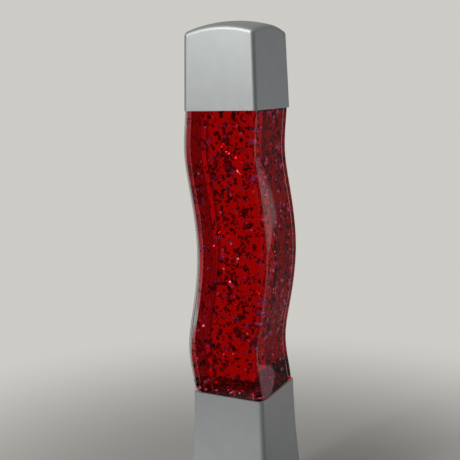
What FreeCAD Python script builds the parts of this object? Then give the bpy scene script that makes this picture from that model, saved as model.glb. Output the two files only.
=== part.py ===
"""A glitter lamp: a wavy square bottle of red liquid and glitter between a silver cap and a silver base.

Lengths are in millimetres. The origin is the middle of the feet, on the surface that the lamp stands on.
+Z is up, the front face looks along -Y, and the right face looks along +X. The bottle's wave sways along X.
"""
import FreeCAD, Part
import math
import os

import Sketcher
from FreeCAD import Placement, Rotation, Vector

# Driving dimensions: alias, value, meaning.
SIZES = [
    # The base
    ("base_height", 120.0, "floor to the base's upper rim"),
    ("rim_lift", 1.5, "floor to the base shell's lower rim"),
    ("base_top_width", 61.6, "base shell across the flats at its upper rim"),
    ("base_foot_width", 77.8, "base shell across the flats at its lower rim"),
    ("flare_radius", 1080.0, "radius of the hollow flare of each base face"),
    ("base_edge_radius", 4.2, "rounding of the base's four long edges"),
    ("shell_wall", 2.6, "wall of the base shell"),
    ("socket_depth", 14.0, "base rim down to the ledge that carries the seat"),
    ("ledge_thickness", 2.5, "thickness of that ledge"),
    ("ledge_width", 2.0, "how far the ledge reaches inside the socket's wall"),
    ("socket_wall", 2.8, "wall of the base shell at its upper rim"),
    ("rebate_wall", 2.0, "wall of the base shell round the bottom plate"),
    ("inner_edge_radius", 2.4, "rounding of the base shell's inner edges"),
    # The seat of the bottle
    ("socket_clearance", 0.4, "gap between the bottle's foot and the socket"),
    ("seat_clearance", 0.2, "gap between the seat and the socket"),
    ("seat_thickness", 3.0, "thickness of the seat tray"),
    ("leg_radius", 3.2, "radius of the seat's legs"),
    ("leg_spacing", 43.0, "distance between neighbouring legs, centre to centre"),
    ("pilot_reserve", 1.0, "how far a blind screw hole goes on past its screw's tip"),
    ("gasket_thickness", 1.5, "thickness of the soft ring under the bottle"),
    ("gasket_inset", 1.1, "how far the soft ring's edge lies inside the bottle's foot"),
    ("gasket_band", 3.5, "width of the soft ring where it is narrowest"),
    # The heat shield
    ("shield_radius", 23.5, "outer radius of the heat shield"),
    ("shield_wall", 0.5, "sheet thickness of the heat shield"),
    ("shield_foot", 50.0, "height of the heat shield's lower end"),
    ("shield_flange", 1.8, "width of the heat shield's upper flange"),
    ("shield_vent_radius", 3.0, "radius of the shield's vent holes"),
    ("shield_vent_height", 7.2, "height of the vent holes over the shield's foot"),
    # The bottom plate and the feet
    ("plate_recess", 1.5, "how far the plate lies above the shell's lower rim"),
    ("plate_thickness", 2.5, "thickness of the bottom plate"),
    ("plate_clearance", 0.3, "gap between the plate and the shell"),
    ("plate_corner_radius", 3.2, "rounding of the plate's corners"),
    ("foot_radius", 5.0, "radius of a foot"),
    ("foot_gap", 0.5, "gap between a foot and the screw beside it, along each side"),
    ("foot_recess", 1.0, "depth of the pockets that the feet are glued into"),
    ("foot_chamfer", 0.6, "chamfer round the feet"),
    ("vent_width", 2.6, "width of a vent slot"),
    ("vent_length", 22.0, "length of a vent slot"),
    ("vent_pitch", 5.0, "distance between neighbouring vent slots"),
    ("vent_start", 15.0, "distance from the axis to the first vent slot"),
    # Screws
    ("screw_radius", 1.5, "shank radius of the screws"),
    ("screw_clearance", 0.08, "gap between a shank and its hole"),
    ("head_radius", 2.8, "radius of a screw head"),
    ("head_height", 1.7, "height of a screw head"),
    ("slot_width", 0.7, "width of a screw head's slot"),
    ("slot_depth", 0.8, "depth of a screw head's slot"),
    ("plate_screw_length", 12.0, "shank length of the screws that close the base"),
    ("short_screw_length", 5.2, "shank length of the bracket screws"),
    ("holder_screw_length", 6.5, "shank length of the lampholder screws"),
    ("block_screw_radius", 1.2, "shank radius of the terminal block's screw"),
    ("block_head_radius", 2.2, "head radius of the terminal block's screw"),
    ("block_screw_length", 12.4, "shank length of the terminal block's screw"),
    # The bracket and the lampholder
    ("bracket_sheet", 1.5, "sheet thickness of the bracket"),
    ("bracket_width", 14.0, "width of the bracket"),
    ("bracket_rise", 7.5, "height of the bracket over the bottom plate"),
    ("bracket_span", 22.0, "outer distance between the bracket's two risers"),
    ("bracket_length", 42.0, "length of the bracket over both feet"),
    ("bracket_hole_spacing", 33.0, "distance between the holes in the bracket's feet"),
    ("bend_radius", 0.6, "inner radius of the bracket's bends"),
    ("holder_radius", 13.0, "outer radius of the lampholder"),
    ("holder_base_height", 12.0, "height of the lampholder's solid lower part"),
    ("holder_spigot_height", 3.0, "height of the collar that the sleeve is screwed on"),
    ("holder_wall", 2.4, "wall of the lampholder's sleeve"),
    ("sleeve_height", 22.0, "height of the lampholder's sleeve"),
    ("holder_screw_spacing", 12.0, "distance between the lampholder's two fixing screws"),
    ("sleeve_chamfer", 1.0, "chamfer at the sleeve's upper rim"),
    ("liner_wall", 0.4, "sheet thickness of the threaded liner"),
    ("liner_height", 18.0, "height of the threaded liner"),
    ("contact_height", 1.3, "height of the centre contact"),
    ("contact_radius", 2.2, "radius of the centre contact"),
    ("contact_chamfer", 0.4, "chamfer of the centre contact"),
    ("liner_opening", 4.4, "radius of the opening in the threaded liner's foot"),
    ("tip_gap", 0.1, "gap between the centre contact and the bulb's tip"),
    ("lead_bore_depth", 4.5, "depth of the lampholder's side bores for the leads"),
    # The bulb
    ("thread_radius", 6.95, "outer radius of the bulb's screw shell"),
    ("thread_clearance", 0.08, "gap between the bulb's screw shell and the liner"),
    ("bulb_shell_wall", 0.3, "sheet thickness of the bulb's screw shell"),
    ("bulb_shell_height", 16.5, "height of the bulb's screw shell"),
    ("bulb_tip_height", 1.2, "height of the bulb's solder tip"),
    ("bulb_tip_radius", 2.3, "radius of the bulb's solder tip"),
    ("bulb_tip_chamfer", 1.0, "chamfer of the solder tip"),
    ("bulb_insulator_height", 2.6, "height of the bulb's glass insulator"),
    ("bulb_insulator_radius", 3.1, "radius of the insulator at the solder tip"),
    ("bulb_shell_opening", 4.6, "radius of the opening in the screw shell's foot"),
    ("bulb_neck_length", 7.5, "how far the bulb's glass reaches into its screw shell"),
    ("bulb_radius", 19.5, "largest radius of the reflector bulb"),
    ("bulb_belt_inset", 1.2, "how much narrower the cone's top is than the widest part"),
    ("bulb_cone_height", 27.0, "height of the bulb's cone over its screw shell"),
    ("bulb_belt_height", 6.0, "height of the bulb's widest part over its cone"),
    ("bulb_shoulder_height", 9.0, "height of the bulb's shoulder over its widest part"),
    ("bulb_shoulder_radius", 14.5, "radius at the top of the bulb's shoulder"),
    ("bulb_dome_height", 3.3, "height of the bulb's dome over its shoulder"),
    ("bulb_cone_radius", 45.0, "radius of the cone's hollow curve"),
    ("bulb_belt_radius", 14.0, "radius of the curve into the widest part"),
    ("bulb_shoulder_bend", 9.0, "radius of the shoulder's curve"),
    ("bulb_wall", 0.7, "wall of the bulb's glass"),
    ("stem_radius", 2.8, "radius of the glass stem inside the bulb"),
    ("stem_height", 18.0, "height of the glass stem"),
    ("stem_flare", 1.0, "how much wider the stem is at its foot"),
    ("stem_flare_height", 4.0, "height of the stem's wider foot"),
    ("stem_chamfer", 0.6, "chamfer at the stem's top"),
    ("filament_spread", 3.75, "distance between the two filament wires"),
    ("filament_wire_radius", 0.35, "radius of the filament wires"),
    ("filament_radius", 0.245, "radius of the filament"),
    ("filament_wire_height", 14.0, "height of the filament wires over the stem"),
    # The bottle
    ("seam_gap", 0.4, "gap between the bottle and the base's rim"),
    ("vessel_width", 60.0, "bottle across the flats"),
    ("vessel_height", 221.0, "height of the bottle that shows between base and cap"),
    ("vessel_edge_radius", 4.1, "rounding of the bottle's four long edges"),
    ("cavity_edge_radius", 2.6, "rounding of the liquid space's four long edges"),
    ("side_wall", 4.6, "wall of the bottle's wavy sides"),
    ("front_wall", 4.4, "wall of the bottle's flat faces"),
    ("vessel_floor", 8.9, "thickness of the bottle's floor"),
    ("foot_edge_radius", 3.4, "rounding of the bottle's foot, inside the socket"),
    # The bottle's wave, down from the cap: share of the visible height, and sideways offset
    ("wave_upper_share", 0.150, "place of the upper swing"),
    ("wave_cross_share", 0.265, "place of the upper crossing"),
    ("wave_middle_share", 0.487, "place of the middle swing"),
    ("wave_return_share", 0.710, "place of the lower crossing"),
    ("wave_lower_share", 0.845, "place of the lower swing"),
    ("wave_top", -0.8, "offset at the cap"),
    ("wave_upper", -2.9, "offset of the upper swing"),
    ("wave_cross", 0.3, "offset at the upper crossing"),
    ("wave_middle", 5.4, "offset of the middle swing"),
    ("wave_return", -0.65, "offset at the lower crossing"),
    ("wave_lower", -4.85, "offset of the lower swing"),
    ("wave_foot", -0.6, "offset at the base"),
    ("wave_run_out", 16.0, "how far the wave's curve runs on, straightening, inside base and cap"),
    # The bottle's hidden top
    ("spigot_height", 12.0, "height of the bottle's collar inside the cap"),
    ("shoulder_height", 13.0, "height of the sloping shoulder over the collar"),
    ("neck_radius", 13.0, "outer radius of the filler neck"),
    ("bore_radius", 8.5, "inner radius of the filler neck"),
    ("neck_height", 12.0, "height of the filler neck"),
    ("closure_wall", 0.6, "sheet thickness of the closure"),
    ("closure_skirt", 9.0, "height of the closure's skirt"),
    ("seal_thickness", 1.0, "thickness of the closure's liner"),
    ("fill_height", 12.0, "liquid level over the cap's lower edge"),
    ("liquid_gap", 0.1, "gap between the liquid and the glass"),
    ("inner_shoulder_drop", 7.04, "how much lower the liquid space's shoulder lies than the outer one"),
    ("shoulder_spread", 1.45, "shoulder's radius at its foot over the collar's half width"),
    # The glitter
    ("flake_width", 2.0, "flake across the flats"),
    ("flake_thickness", 0.15, "thickness of a flake"),
    ("flake_pitch", 3.0, "height between one flake and the next"),
    ("settled_height", 4.0, "height of the settled glitter"),
    ("settled_gap", 0.5, "gap between the settled glitter and the glass"),
    # The cap
    ("cap_foot_width", 61.3, "cap across the flats at its lower edge"),
    ("cap_top_width", 57.8, "cap across the flats at its highest point"),
    ("cap_height", 65.6, "height of the cap"),
    ("dome_radius", 100.0, "radius of the cap's domed top"),
    ("cap_edge_radius", 3.4, "rounding of the cap's four long edges"),
    ("cap_arch_radius", 4.2, "rounding of the edge between dome and faces"),
    ("cap_inner_radius", 2.2, "rounding of the four long edges inside the cap"),
    ("cap_wall", 2.3, "wall of the cap"),
    ("cap_clearance", 0.7, "gap between the cap's lower edge and the bottle's collar"),
    # The switch and the cord's inlet
    ("switch_height", 34.0, "height of the switch's middle"),
    ("panel_inset", 33.0, "distance from the axis to the face that the switch lies against"),
    ("panel_thickness", 2.2, "thickness of the wall behind that face"),
    ("bezel_width", 15.0, "width of the switch's bezel"),
    ("bezel_height", 21.0, "height of the switch's bezel"),
    ("bezel_thickness", 1.5, "thickness of the switch's bezel"),
    ("housing_width", 12.8, "width of the switch's housing"),
    ("housing_height", 18.8, "height of the switch's housing"),
    ("housing_depth", 11.5, "depth of the switch's housing behind the bezel"),
    ("housing_wall", 1.1, "side wall of the switch's housing"),
    ("housing_end_wall", 0.7, "upper and lower wall of the switch's housing"),
    ("housing_floor", 1.5, "floor of the switch's housing"),
    ("rocker_gap", 0.3, "gap between the rocker and the housing"),
    ("rocker_tilt", 9.0, "tilt of the rocker each side of its middle, in degrees"),
    ("pivot_depth", 1.5, "how far the rocker's pivot lies behind the bezel"),
    ("trunnion_radius", 1.2, "radius of the rocker's trunnions"),
    ("trunnion_clearance", 0.05, "gap round the rocker's trunnions"),
    ("rocker_front", 3.6, "height of the rocker's ends in front of its pivot"),
    ("rocker_back", 2.0, "depth of the rocker behind its pivot"),
    ("rocker_front_half", 7.6, "half length of the rocker's front"),
    ("rocker_back_half", 8.1, "half length of the rocker's back"),
    ("rocker_end_radius", 8.4, "radius of the rocker's ends"),
    ("rocker_dish_radius", 36.0, "radius of the rocker's hollow front"),
    ("plunger_radius", 1.0, "radius of the plunger"),
    ("contact_gap", 0.1, "running gap on each side of the contact blade"),
    ("fulcrum_depth", 7.3, "distance from the panel to the edge that the blade rocks on"),
    ("blade_length", 11.0, "length of the contact blade"),
    ("blade_width", 3.0, "width of the contact blade"),
    ("blade_sheet", 0.4, "thickness of the contact blade"),
    ("bead_radius", 0.3, "radius of the stiffening bead near the blade's upper end"),
    ("bead_length", 1.5, "length of that bead"),
    ("bead_height", 4.62, "height of that bead over the blade's middle"),
    ("blade_tilt", 6.0, "tilt of the contact blade each side of its middle, in degrees"),
    ("tab_width", 4.8, "width of the switch's tabs"),
    ("tab_thickness", 0.8, "thickness of the switch's tabs"),
    ("tab_reach", 6.0, "length of the tabs behind the housing"),
    ("tab_spacing", 4.5, "distance between the two tabs"),
    ("tab_clearance", 0.05, "gap round the tabs in the housing's floor"),
    ("load_tab_drop", 0.45, "how much further back the load tab's front end lies"),
    ("bezel_rounding", 0.75, "rounding of the bezel's front edge"),
    ("bush_height", 13.0, "height of the cord inlet's axis"),
    ("bush_recess", 2.7, "how far the face that the bush lies against is inside the base's lower rim"),
    ("bush_wall", 2.8, "thickness of the wall under the bush"),
    ("bush_flange_radius", 6.0, "radius of the bush's flange"),
    ("bush_flange", 1.6, "thickness of the bush's flange"),
    ("bush_radius", 4.6, "radius of the bush's body"),
    ("bush_lip", 0.6, "how far the bush's inner lip stands out"),
    ("bush_lip_length", 1.0, "length of the bush's inner lip"),
    ("bush_taper", 0.2, "how much narrower the bush's inner end is than its body"),
    ("bush_chamfer", 0.8, "chamfer of the bush's flange"),
    ("boss_margin", 2.0, "how far the boss inside the shell stands out round the switch"),
    ("bush_margin", 1.2, "how far the boss inside the shell stands out round the bush"),
    ("cord_bore_radius", 3.2, "bore for the cord"),
    # The terminal block and the leads
    ("block_length", 17.0, "terminal block along X"),
    ("block_depth", 16.0, "terminal block along Y"),
    ("block_height", 10.5, "terminal block along Z"),
    ("block_allowance", 0.3, "how much closer than at its rim the shell's wall stands beside the block"),
    ("block_pitch", 8.6, "distance between the two ways"),
    ("block_bore_height", 5.5, "height of the ways over the bottom plate"),
    ("insert_radius", 2.5, "outer radius of a brass insert"),
    ("insert_bore", 1.7, "bore of a brass insert"),
    ("insert_length", 14.0, "length of a brass insert"),
    ("grub_radius", 1.3, "radius of the terminal screws"),
    ("grub_height", 3.2, "height of the terminal screws"),
    ("grub_spacing", 8.0, "distance between the two screws of one way"),
    ("tap_clearance", 0.05, "gap round a terminal screw in its insert"),
    ("shaft_clearance", 0.5, "gap round a terminal screw in the block"),
    ("plate_skin", 0.2, "what is left of the bottom plate under the block's screw"),
    ("lead_radius", 0.9, "radius of the inner leads"),
    ("lead_leg_gap", 2.3, "least gap between a lead's corner and the seat's leg"),
]

doc = FreeCAD.newDocument("glitter_lamp")
sheet = doc.addObject("Spreadsheet::Sheet", "Sizes")


class Size:
    """A length with its formula, so that an object's binding and a plain number come from one place."""

    def __init__(self, text, value):
        self.text = text
        self.value = float(value)

    @staticmethod
    def of(thing):
        return thing if isinstance(thing, Size) else Size(f"{thing:g}", thing)

    def __add__(self, other):
        other = Size.of(other)
        return Size(f"({self.text} + {other.text})", self.value + other.value)

    def __sub__(self, other):
        other = Size.of(other)
        return Size(f"({self.text} - {other.text})", self.value - other.value)

    def __mul__(self, other):
        other = Size.of(other)
        return Size(f"({self.text} * {other.text})", self.value * other.value)

    def __truediv__(self, other):
        other = Size.of(other)
        return Size(f"({self.text} / {other.text})", self.value / other.value)

    def __rsub__(self, other):
        return Size.of(other) - self

    def __neg__(self):
        return Size(f"(0 - {self.text})", -self.value)

    __radd__ = __add__
    __rmul__ = __mul__


class Sheet:
    """The driving dimensions by name, each as a Size that points at its cell."""


size = Sheet()
for row, (alias, value, meaning) in enumerate(SIZES, start=1):
    sheet.set(f"A{row}", meaning)
    sheet.set(f"B{row}", str(value))
    sheet.setAlias(f"B{row}", alias)
    setattr(size, alias, Size(f"Sizes.{alias}", value))
doc.recompute()

ZERO = Size("0", 0.0)

# How far a cutting tool runs on past what it cuts, and how deep a joined piece reaches into the next.
MARGIN = 2.0
OVERLAP = 1.0

VENT_SLOTS = 4
SHIELD_VENTS = 8


# General helpers

def bind(thing, **properties):
    """Bind properties of an object to sizes."""
    for name, amount in properties.items():
        thing.setExpression(name, Size.of(amount).text)


def place(thing, x=0.0, y=0.0, z=0.0, turn=None):
    """Put an object where the sizes say, turned by an optional rotation."""
    spot = [Size.of(amount) for amount in (x, y, z)]
    base = Vector(*(amount.value for amount in spot))
    thing.Placement = Placement(base, turn or Rotation())
    for axis, amount in zip("xyz", spot):
        thing.setExpression(f".Placement.Base.{axis}", amount.text)
    return thing


def box(label, length, width, height, x, y, z):
    """A block centred on x and y that stands on z."""
    block = doc.addObject("Part::Box", label)
    length, width, height = (Size.of(amount) for amount in (length, width, height))
    bind(block, Length=length, Width=width, Height=height)
    return place(block, Size.of(x) - length / 2, Size.of(y) - width / 2, z)


UPRIGHT = Rotation()
ALONG_X = Rotation(Vector(0, 1, 0), 90)
ALONG_Y = Rotation(Vector(1, 0, 0), -90)


def cylinder(label, radius, height, x, y, z, turn=UPRIGHT):
    """A cylinder from the given point along +Z, or along the way that turn gives."""
    rod = doc.addObject("Part::Cylinder", label)
    bind(rod, Radius=radius, Height=height)
    return place(rod, x, y, z, turn)


def cut(label, base, *tools):
    """The base less its tools."""
    tool = tools[0] if len(tools) == 1 else fuse(f"{label}_tools", *tools)
    result = doc.addObject("Part::Cut", label)
    result.Base = base
    result.Tool = tool
    return result


def fuse(label, *shapes):
    result = doc.addObject("Part::MultiFuse", label)
    result.Shapes = list(shapes)
    return result


def common(label, *shapes):
    result = doc.addObject("Part::MultiCommon", label)
    result.Shapes = list(shapes)
    return result


def group(label, *shapes):
    """Several separate solids that share one node."""
    result = doc.addObject("Part::Compound", label)
    result.Links = list(shapes)
    return result


def plane_of(body, role):
    return next(item for item in body.Origin.OriginFeatures if item.Role == role)


class Arc:
    """An arc between two corners of an outline; side is +1 where it bulges to the right of the way."""

    def __init__(self, radius, side):
        self.radius = Size.of(radius)
        self.side = side


def arc_between(start, end, radius, side):
    """The short arc of the given radius from start to end."""
    chord = end - start
    half = chord.Length / 2
    radius = max(radius, half)
    right = Vector(chord.y, -chord.x, 0)
    right.normalize()
    middle = (start + end) * 0.5 - right * (side * math.sqrt(radius * radius - half * half))
    first, last = (start, end) if side > 0 else (end, start)
    angles = [math.atan2(point.y - middle.y, point.x - middle.x) for point in (first, last)]
    if angles[1] < angles[0]:
        angles[1] += 2 * math.pi
    return Part.ArcOfCircle(Part.Circle(middle, Vector(0, 0, 1), radius), *angles)


def outline(body, label, role, *loops, offset=None):
    """A sketch of closed outlines: corners as pairs of sizes, with an Arc where two corners join by one."""
    sketch = body.newObject("Sketcher::SketchObject", label)
    sketch.AttachmentSupport = (plane_of(body, role), [""])
    sketch.MapMode = "FlatFace"
    if offset is not None:
        sketch.setExpression("AttachmentOffset.Base.z", Size.of(offset).text)
    for loop in loops:
        draw_loop(sketch, loop)
    return sketch


def draw_loop(sketch, loop):
    corners = [step for step in loop if not isinstance(step, Arc)]
    joins = []
    for index, step in enumerate(loop):
        if not isinstance(step, Arc):
            follower = loop[(index + 1) % len(loop)]
            joins.append(follower if isinstance(follower, Arc) else None)
    points = [Vector(Size.of(x).value, Size.of(y).value, 0) for x, y in corners]
    first = sketch.GeometryCount
    count = len(points)
    for index, join in enumerate(joins):
        start = points[index]
        end = points[(index + 1) % count]
        if join is None:
            sketch.addGeometry(Part.LineSegment(start, end), False)
        else:
            sketch.addGeometry(arc_between(start, end, join.radius.value, join.side), False)
    ends = []
    for index, join in enumerate(joins):
        edge = sketch.Geometry[first + index]
        forward = edge.StartPoint.distanceToPoint(points[index]) < 1e-6
        ends.append((1, 2) if forward else (2, 1))
    for index in range(count):
        after = (index + 1) % count
        pair = (first + index, ends[index][1], first + after, ends[after][0])
        sketch.addConstraint(Sketcher.Constraint("Coincident", *pair))
    for index, corner in enumerate(corners):
        for kind, amount in zip(("DistanceX", "DistanceY"), corner):
            amount = Size.of(amount)
            at = (first + index, ends[index][0])
            number = sketch.addConstraint(Sketcher.Constraint(kind, *at, amount.value))
            if amount.text.strip("-0.") and "Sizes" in amount.text:
                sketch.setExpression(f"Constraints[{number}]", amount.text)
    for index, join in enumerate(joins):
        if join is not None:
            number = sketch.addConstraint(Sketcher.Constraint("Radius", first + index, join.radius.value))
            sketch.setExpression(f"Constraints[{number}]", join.radius.text)


def rectangle(half_x, half_y, middle_x=ZERO, middle_y=ZERO):
    """The corners of a rectangle about a middle point."""
    half_x, half_y = Size.of(half_x), Size.of(half_y)
    return [
        (middle_x - half_x, middle_y - half_y),
        (middle_x + half_x, middle_y - half_y),
        (middle_x + half_x, middle_y + half_y),
        (middle_x - half_x, middle_y + half_y),
    ]


def stadium(half_length, radius, middle_x=ZERO, middle_y=ZERO):
    """A slot with round ends, long along the sketch's second axis."""
    low = middle_y - half_length + radius
    high = middle_y + half_length - radius
    quarter = Arc(radius, 1)
    return [
        (middle_x - radius, high),
        (middle_x - radius, low),
        quarter,
        (middle_x, low - radius),
        quarter,
        (middle_x + radius, low),
        (middle_x + radius, high),
        quarter,
        (middle_x, high + radius),
        quarter,
    ]


def turned(label, *loop):
    """A body of revolution about Z from an outline of radius and height."""
    body = doc.addObject("PartDesign::Body", label)
    sketch = outline(body, f"{label}_outline", "XZ_Plane", list(loop))
    revolution = body.newObject("PartDesign::Revolution", f"{label}_turned")
    revolution.Profile = sketch
    revolution.ReferenceAxis = (sketch, ["V_Axis"])
    revolution.Angle = 360
    return body


def padded(label, role, loops, length, offset=None, both_ways=False):
    """A body that is one outline, or several, padded square to its plane."""
    body = doc.addObject("PartDesign::Body", label)
    sketch = outline(body, f"{label}_outline", role, *loops, offset=offset)
    pad = body.newObject("PartDesign::Pad", f"{label}_pad")
    pad.Profile = sketch
    if both_ways:
        pad.SideType = "Symmetric"
    bind(pad, Length=length)
    return body


def round_edges(body, radius, chosen):
    """Round the edges of a body's tip that the test picks."""
    doc.recompute()
    tip = body.Tip
    names = [f"Edge{number}" for number, edge in enumerate(tip.Shape.Edges, start=1) if chosen(edge)]
    fillet = body.newObject("PartDesign::Fillet", f"{body.Name}_rounding")
    fillet.Base = (tip, names)
    bind(fillet, Radius=radius)
    return fillet


def finished(label, source):
    """A body that goes on from a shape made by booleans."""
    doc.recompute()
    body = doc.addObject("PartDesign::Body", label)
    body.BaseFeature = source
    doc.recompute()
    return body


def long_edge(height):
    """A test for edges that run the given height or more."""
    def chosen(edge):
        return edge.BoundBox.ZLength > height
    return chosen


parts = {}


def keep(node, thing):
    """Take an object as one of the lamp's sub-parts, under its own name."""
    thing.Label = node
    parts[node] = thing
    return thing


# Heights and widths that several pieces share

plate_foot = size.rim_lift + size.plate_recess
plate_top = plate_foot + size.plate_thickness
seat_foot = size.base_height - size.socket_depth
seat_top = seat_foot + size.seat_thickness
vessel_foot = seat_top + size.gasket_thickness
vessel_low = size.base_height + size.seam_gap
vessel_high = vessel_low + size.vessel_height
cap_foot = vessel_high
cap_top = cap_foot + size.cap_height
socket_half = size.base_top_width / 2 - size.socket_wall
foot_half = socket_half - size.socket_clearance
cavity_floor = vessel_foot + size.vessel_floor
bracket_top = plate_top + size.bracket_rise
holder_foot = bracket_top
spigot_foot = holder_foot + size.holder_base_height
spigot_top = spigot_foot + size.holder_spigot_height
contact_top = spigot_top + size.contact_height
tip_foot = contact_top + size.tip_gap
insulator_foot = tip_foot + size.bulb_tip_height
bulb_shell_foot = insulator_foot + size.bulb_insulator_height
bulb_shell_top = bulb_shell_foot + size.bulb_shell_height
liner_inner = size.thread_radius + size.thread_clearance
screw_hole = size.screw_radius + size.screw_clearance
leg_place = size.leg_spacing / 2
foot_place = leg_place + (size.foot_radius + size.head_radius) * math.sqrt(0.5) + size.foot_gap
bush_inset = size.base_foot_width / 2 - size.bush_recess
block_place = (size.holder_radius + size.base_foot_width / 2 - size.shell_wall - size.block_allowance) / 2
plate_half = size.base_foot_width / 2 - size.rebate_wall - size.plate_clearance

CORNERS = [(-1, -1), (1, -1), (1, 1), (-1, 1)]
SIDES = [-1, 1]


# Screws

def screw(label, x, y, seat, length, shank, head, upward=True):
    """A slotted screw whose head bears on the height called seat."""
    top = size.head_height
    if upward:
        pieces = [
            cylinder(f"{label}_head", head, top, x, y, seat - top),
            cylinder(f"{label}_shank", shank, length, x, y, seat),
        ]
        slot_foot = seat - top
    else:
        pieces = [
            cylinder(f"{label}_head", head, top, x, y, seat),
            cylinder(f"{label}_shank", shank, length, x, y, seat - length),
        ]
        slot_foot = seat + top - size.slot_depth
    slot = box(f"{label}_slot", head * 2 + MARGIN, size.slot_width, size.slot_depth, x, y, slot_foot)
    return cut(label, fuse(f"{label}_solid", *pieces), slot)


# The base shell

def flare(label, role, inset):
    """The base's flared outline, drawn in by the inset and padded right across."""
    foot = size.base_foot_width / 2 - inset
    top = size.base_top_width / 2 - inset
    hollow = Arc(size.flare_radius, -1)
    loop = [
        (-foot, size.rim_lift),
        (foot, size.rim_lift),
        hollow,
        (top, size.base_height),
        (-top, size.base_height),
        hollow,
    ]
    return padded(label, role, [loop], size.base_foot_width + MARGIN, both_ways=True)


def flared_block(label, inset, radius):
    """A square flared block with its long edges rounded."""
    faces = [flare(f"{label}_across", "XZ_Plane", inset), flare(f"{label}_along", "YZ_Plane", inset)]
    body = finished(f"{label}_block", common(f"{label}_common", *faces))
    round_edges(body, radius, long_edge(size.base_height.value / 2))
    return body


def square_block(label, half, foot, height, radius):
    """A square block on the axis with its upright edges rounded."""
    body = padded(label, "XY_Plane", [rectangle(half, half)], height, offset=foot)
    round_edges(body, radius, long_edge(Size.of(height).value / 2))
    return body


def make_base_shell():
    outer = flared_block("shell_outer", ZERO, size.base_edge_radius)
    inner = flared_block("shell_inner", size.shell_wall, size.inner_edge_radius)
    ledge_foot = seat_foot - size.ledge_thickness
    reach = size.base_foot_width + MARGIN
    slab = box("shell_inner_slab", reach, reach, ledge_foot, 0, 0, 0)
    lower = common("shell_lower_space", inner, slab)
    socket = square_block("shell_socket", socket_half, seat_foot, size.socket_depth + MARGIN,
                          size.inner_edge_radius)
    opening_half = socket_half - size.ledge_width
    opening = square_block("shell_light_opening", opening_half, ledge_foot - MARGIN,
                           size.ledge_thickness + MARGIN * 2, size.inner_edge_radius)
    rebate_half = size.base_foot_width / 2 - size.rebate_wall
    rebate = square_block("shell_rebate", rebate_half, 0, plate_top, size.plate_corner_radius)
    hollow = cut("shell_hollow", outer, lower, socket, opening, rebate)
    outward = size.base_foot_width
    panel_back = size.panel_inset - size.panel_thickness
    panel_block = box("panel_block", size.bezel_width + size.boss_margin * 2, outward,
                      size.bezel_height + size.boss_margin * 2, 0, panel_back + outward / 2,
                      size.switch_height - size.bezel_height / 2 - size.boss_margin)
    panel = common("switch_panel", outer, panel_block)
    bush_back = bush_inset - size.bush_wall
    bush_rod = cylinder("bush_block", size.bush_flange_radius + size.bush_margin, outward, 0, bush_back,
                        size.bush_height, ALONG_Y)
    bush_boss = common("bush_boss", outer, bush_rod)
    walls = fuse("shell_walls", hollow, panel, bush_boss)
    bezel_pocket = box("bezel_pocket", size.bezel_width + size.rocker_gap, outward,
                       size.bezel_height + size.rocker_gap, 0, size.panel_inset + outward / 2,
                       size.switch_height - size.bezel_height / 2 - size.rocker_gap / 2)
    panel_hole = box("panel_hole", size.housing_width + size.rocker_gap, size.panel_thickness * 2 + MARGIN,
                     size.housing_height + size.rocker_gap, 0, size.panel_inset,
                     size.switch_height - size.housing_height / 2 - size.rocker_gap / 2)
    bush_pocket = cylinder("bush_pocket", size.bush_flange_radius + size.rocker_gap, outward, 0,
                           bush_inset, size.bush_height, ALONG_Y)
    bush_hole = cylinder("bush_hole", size.bush_radius + size.contact_gap, size.bush_wall + MARGIN * 2, 0,
                         bush_back - MARGIN, size.bush_height, ALONG_Y)
    keep("base_shell", cut("base_shell_cut", walls, bezel_pocket, panel_hole, bush_pocket, bush_hole))


# The seat of the bottle, the soft ring and the heat shield

def make_seat():
    tray_half = socket_half - size.seat_clearance
    tray = square_block("seat_tray", tray_half, seat_foot, size.seat_thickness, size.inner_edge_radius)
    legs = []
    pilots = []
    pilot_height = size.plate_screw_length - size.plate_thickness + size.pilot_reserve
    for number, (side_x, side_y) in enumerate(CORNERS, start=1):
        x, y = leg_place * side_x, leg_place * side_y
        leg_height = seat_foot - plate_top + OVERLAP
        legs.append(cylinder(f"seat_leg_{number}", size.leg_radius, leg_height, x, y, plate_top))
        pilots.append(cylinder(f"seat_pilot_{number}", screw_hole, pilot_height, x, y, plate_top))
    hole = cylinder("seat_hole", size.shield_radius + size.seat_clearance, size.seat_thickness + MARGIN * 2,
                    0, 0, seat_foot - MARGIN)
    flange_radius = size.shield_radius + size.shield_flange + size.seat_clearance
    counterbore = cylinder("seat_counterbore", flange_radius, size.seat_thickness, 0, 0,
                           seat_top - size.shield_wall)
    keep("vessel_seat", cut("seat_cut", fuse("seat_solid", tray, *legs), hole, counterbore, *pilots))

    ring_half = foot_half - size.gasket_inset
    ring = square_block("gasket_block", ring_half, seat_top, size.gasket_thickness, size.inner_edge_radius)
    opening = cylinder("gasket_opening", ring_half - size.gasket_band,
                       size.gasket_thickness + MARGIN * 2, 0, 0, seat_top - MARGIN)
    keep("seat_gasket", cut("gasket_cut", ring, opening))


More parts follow.
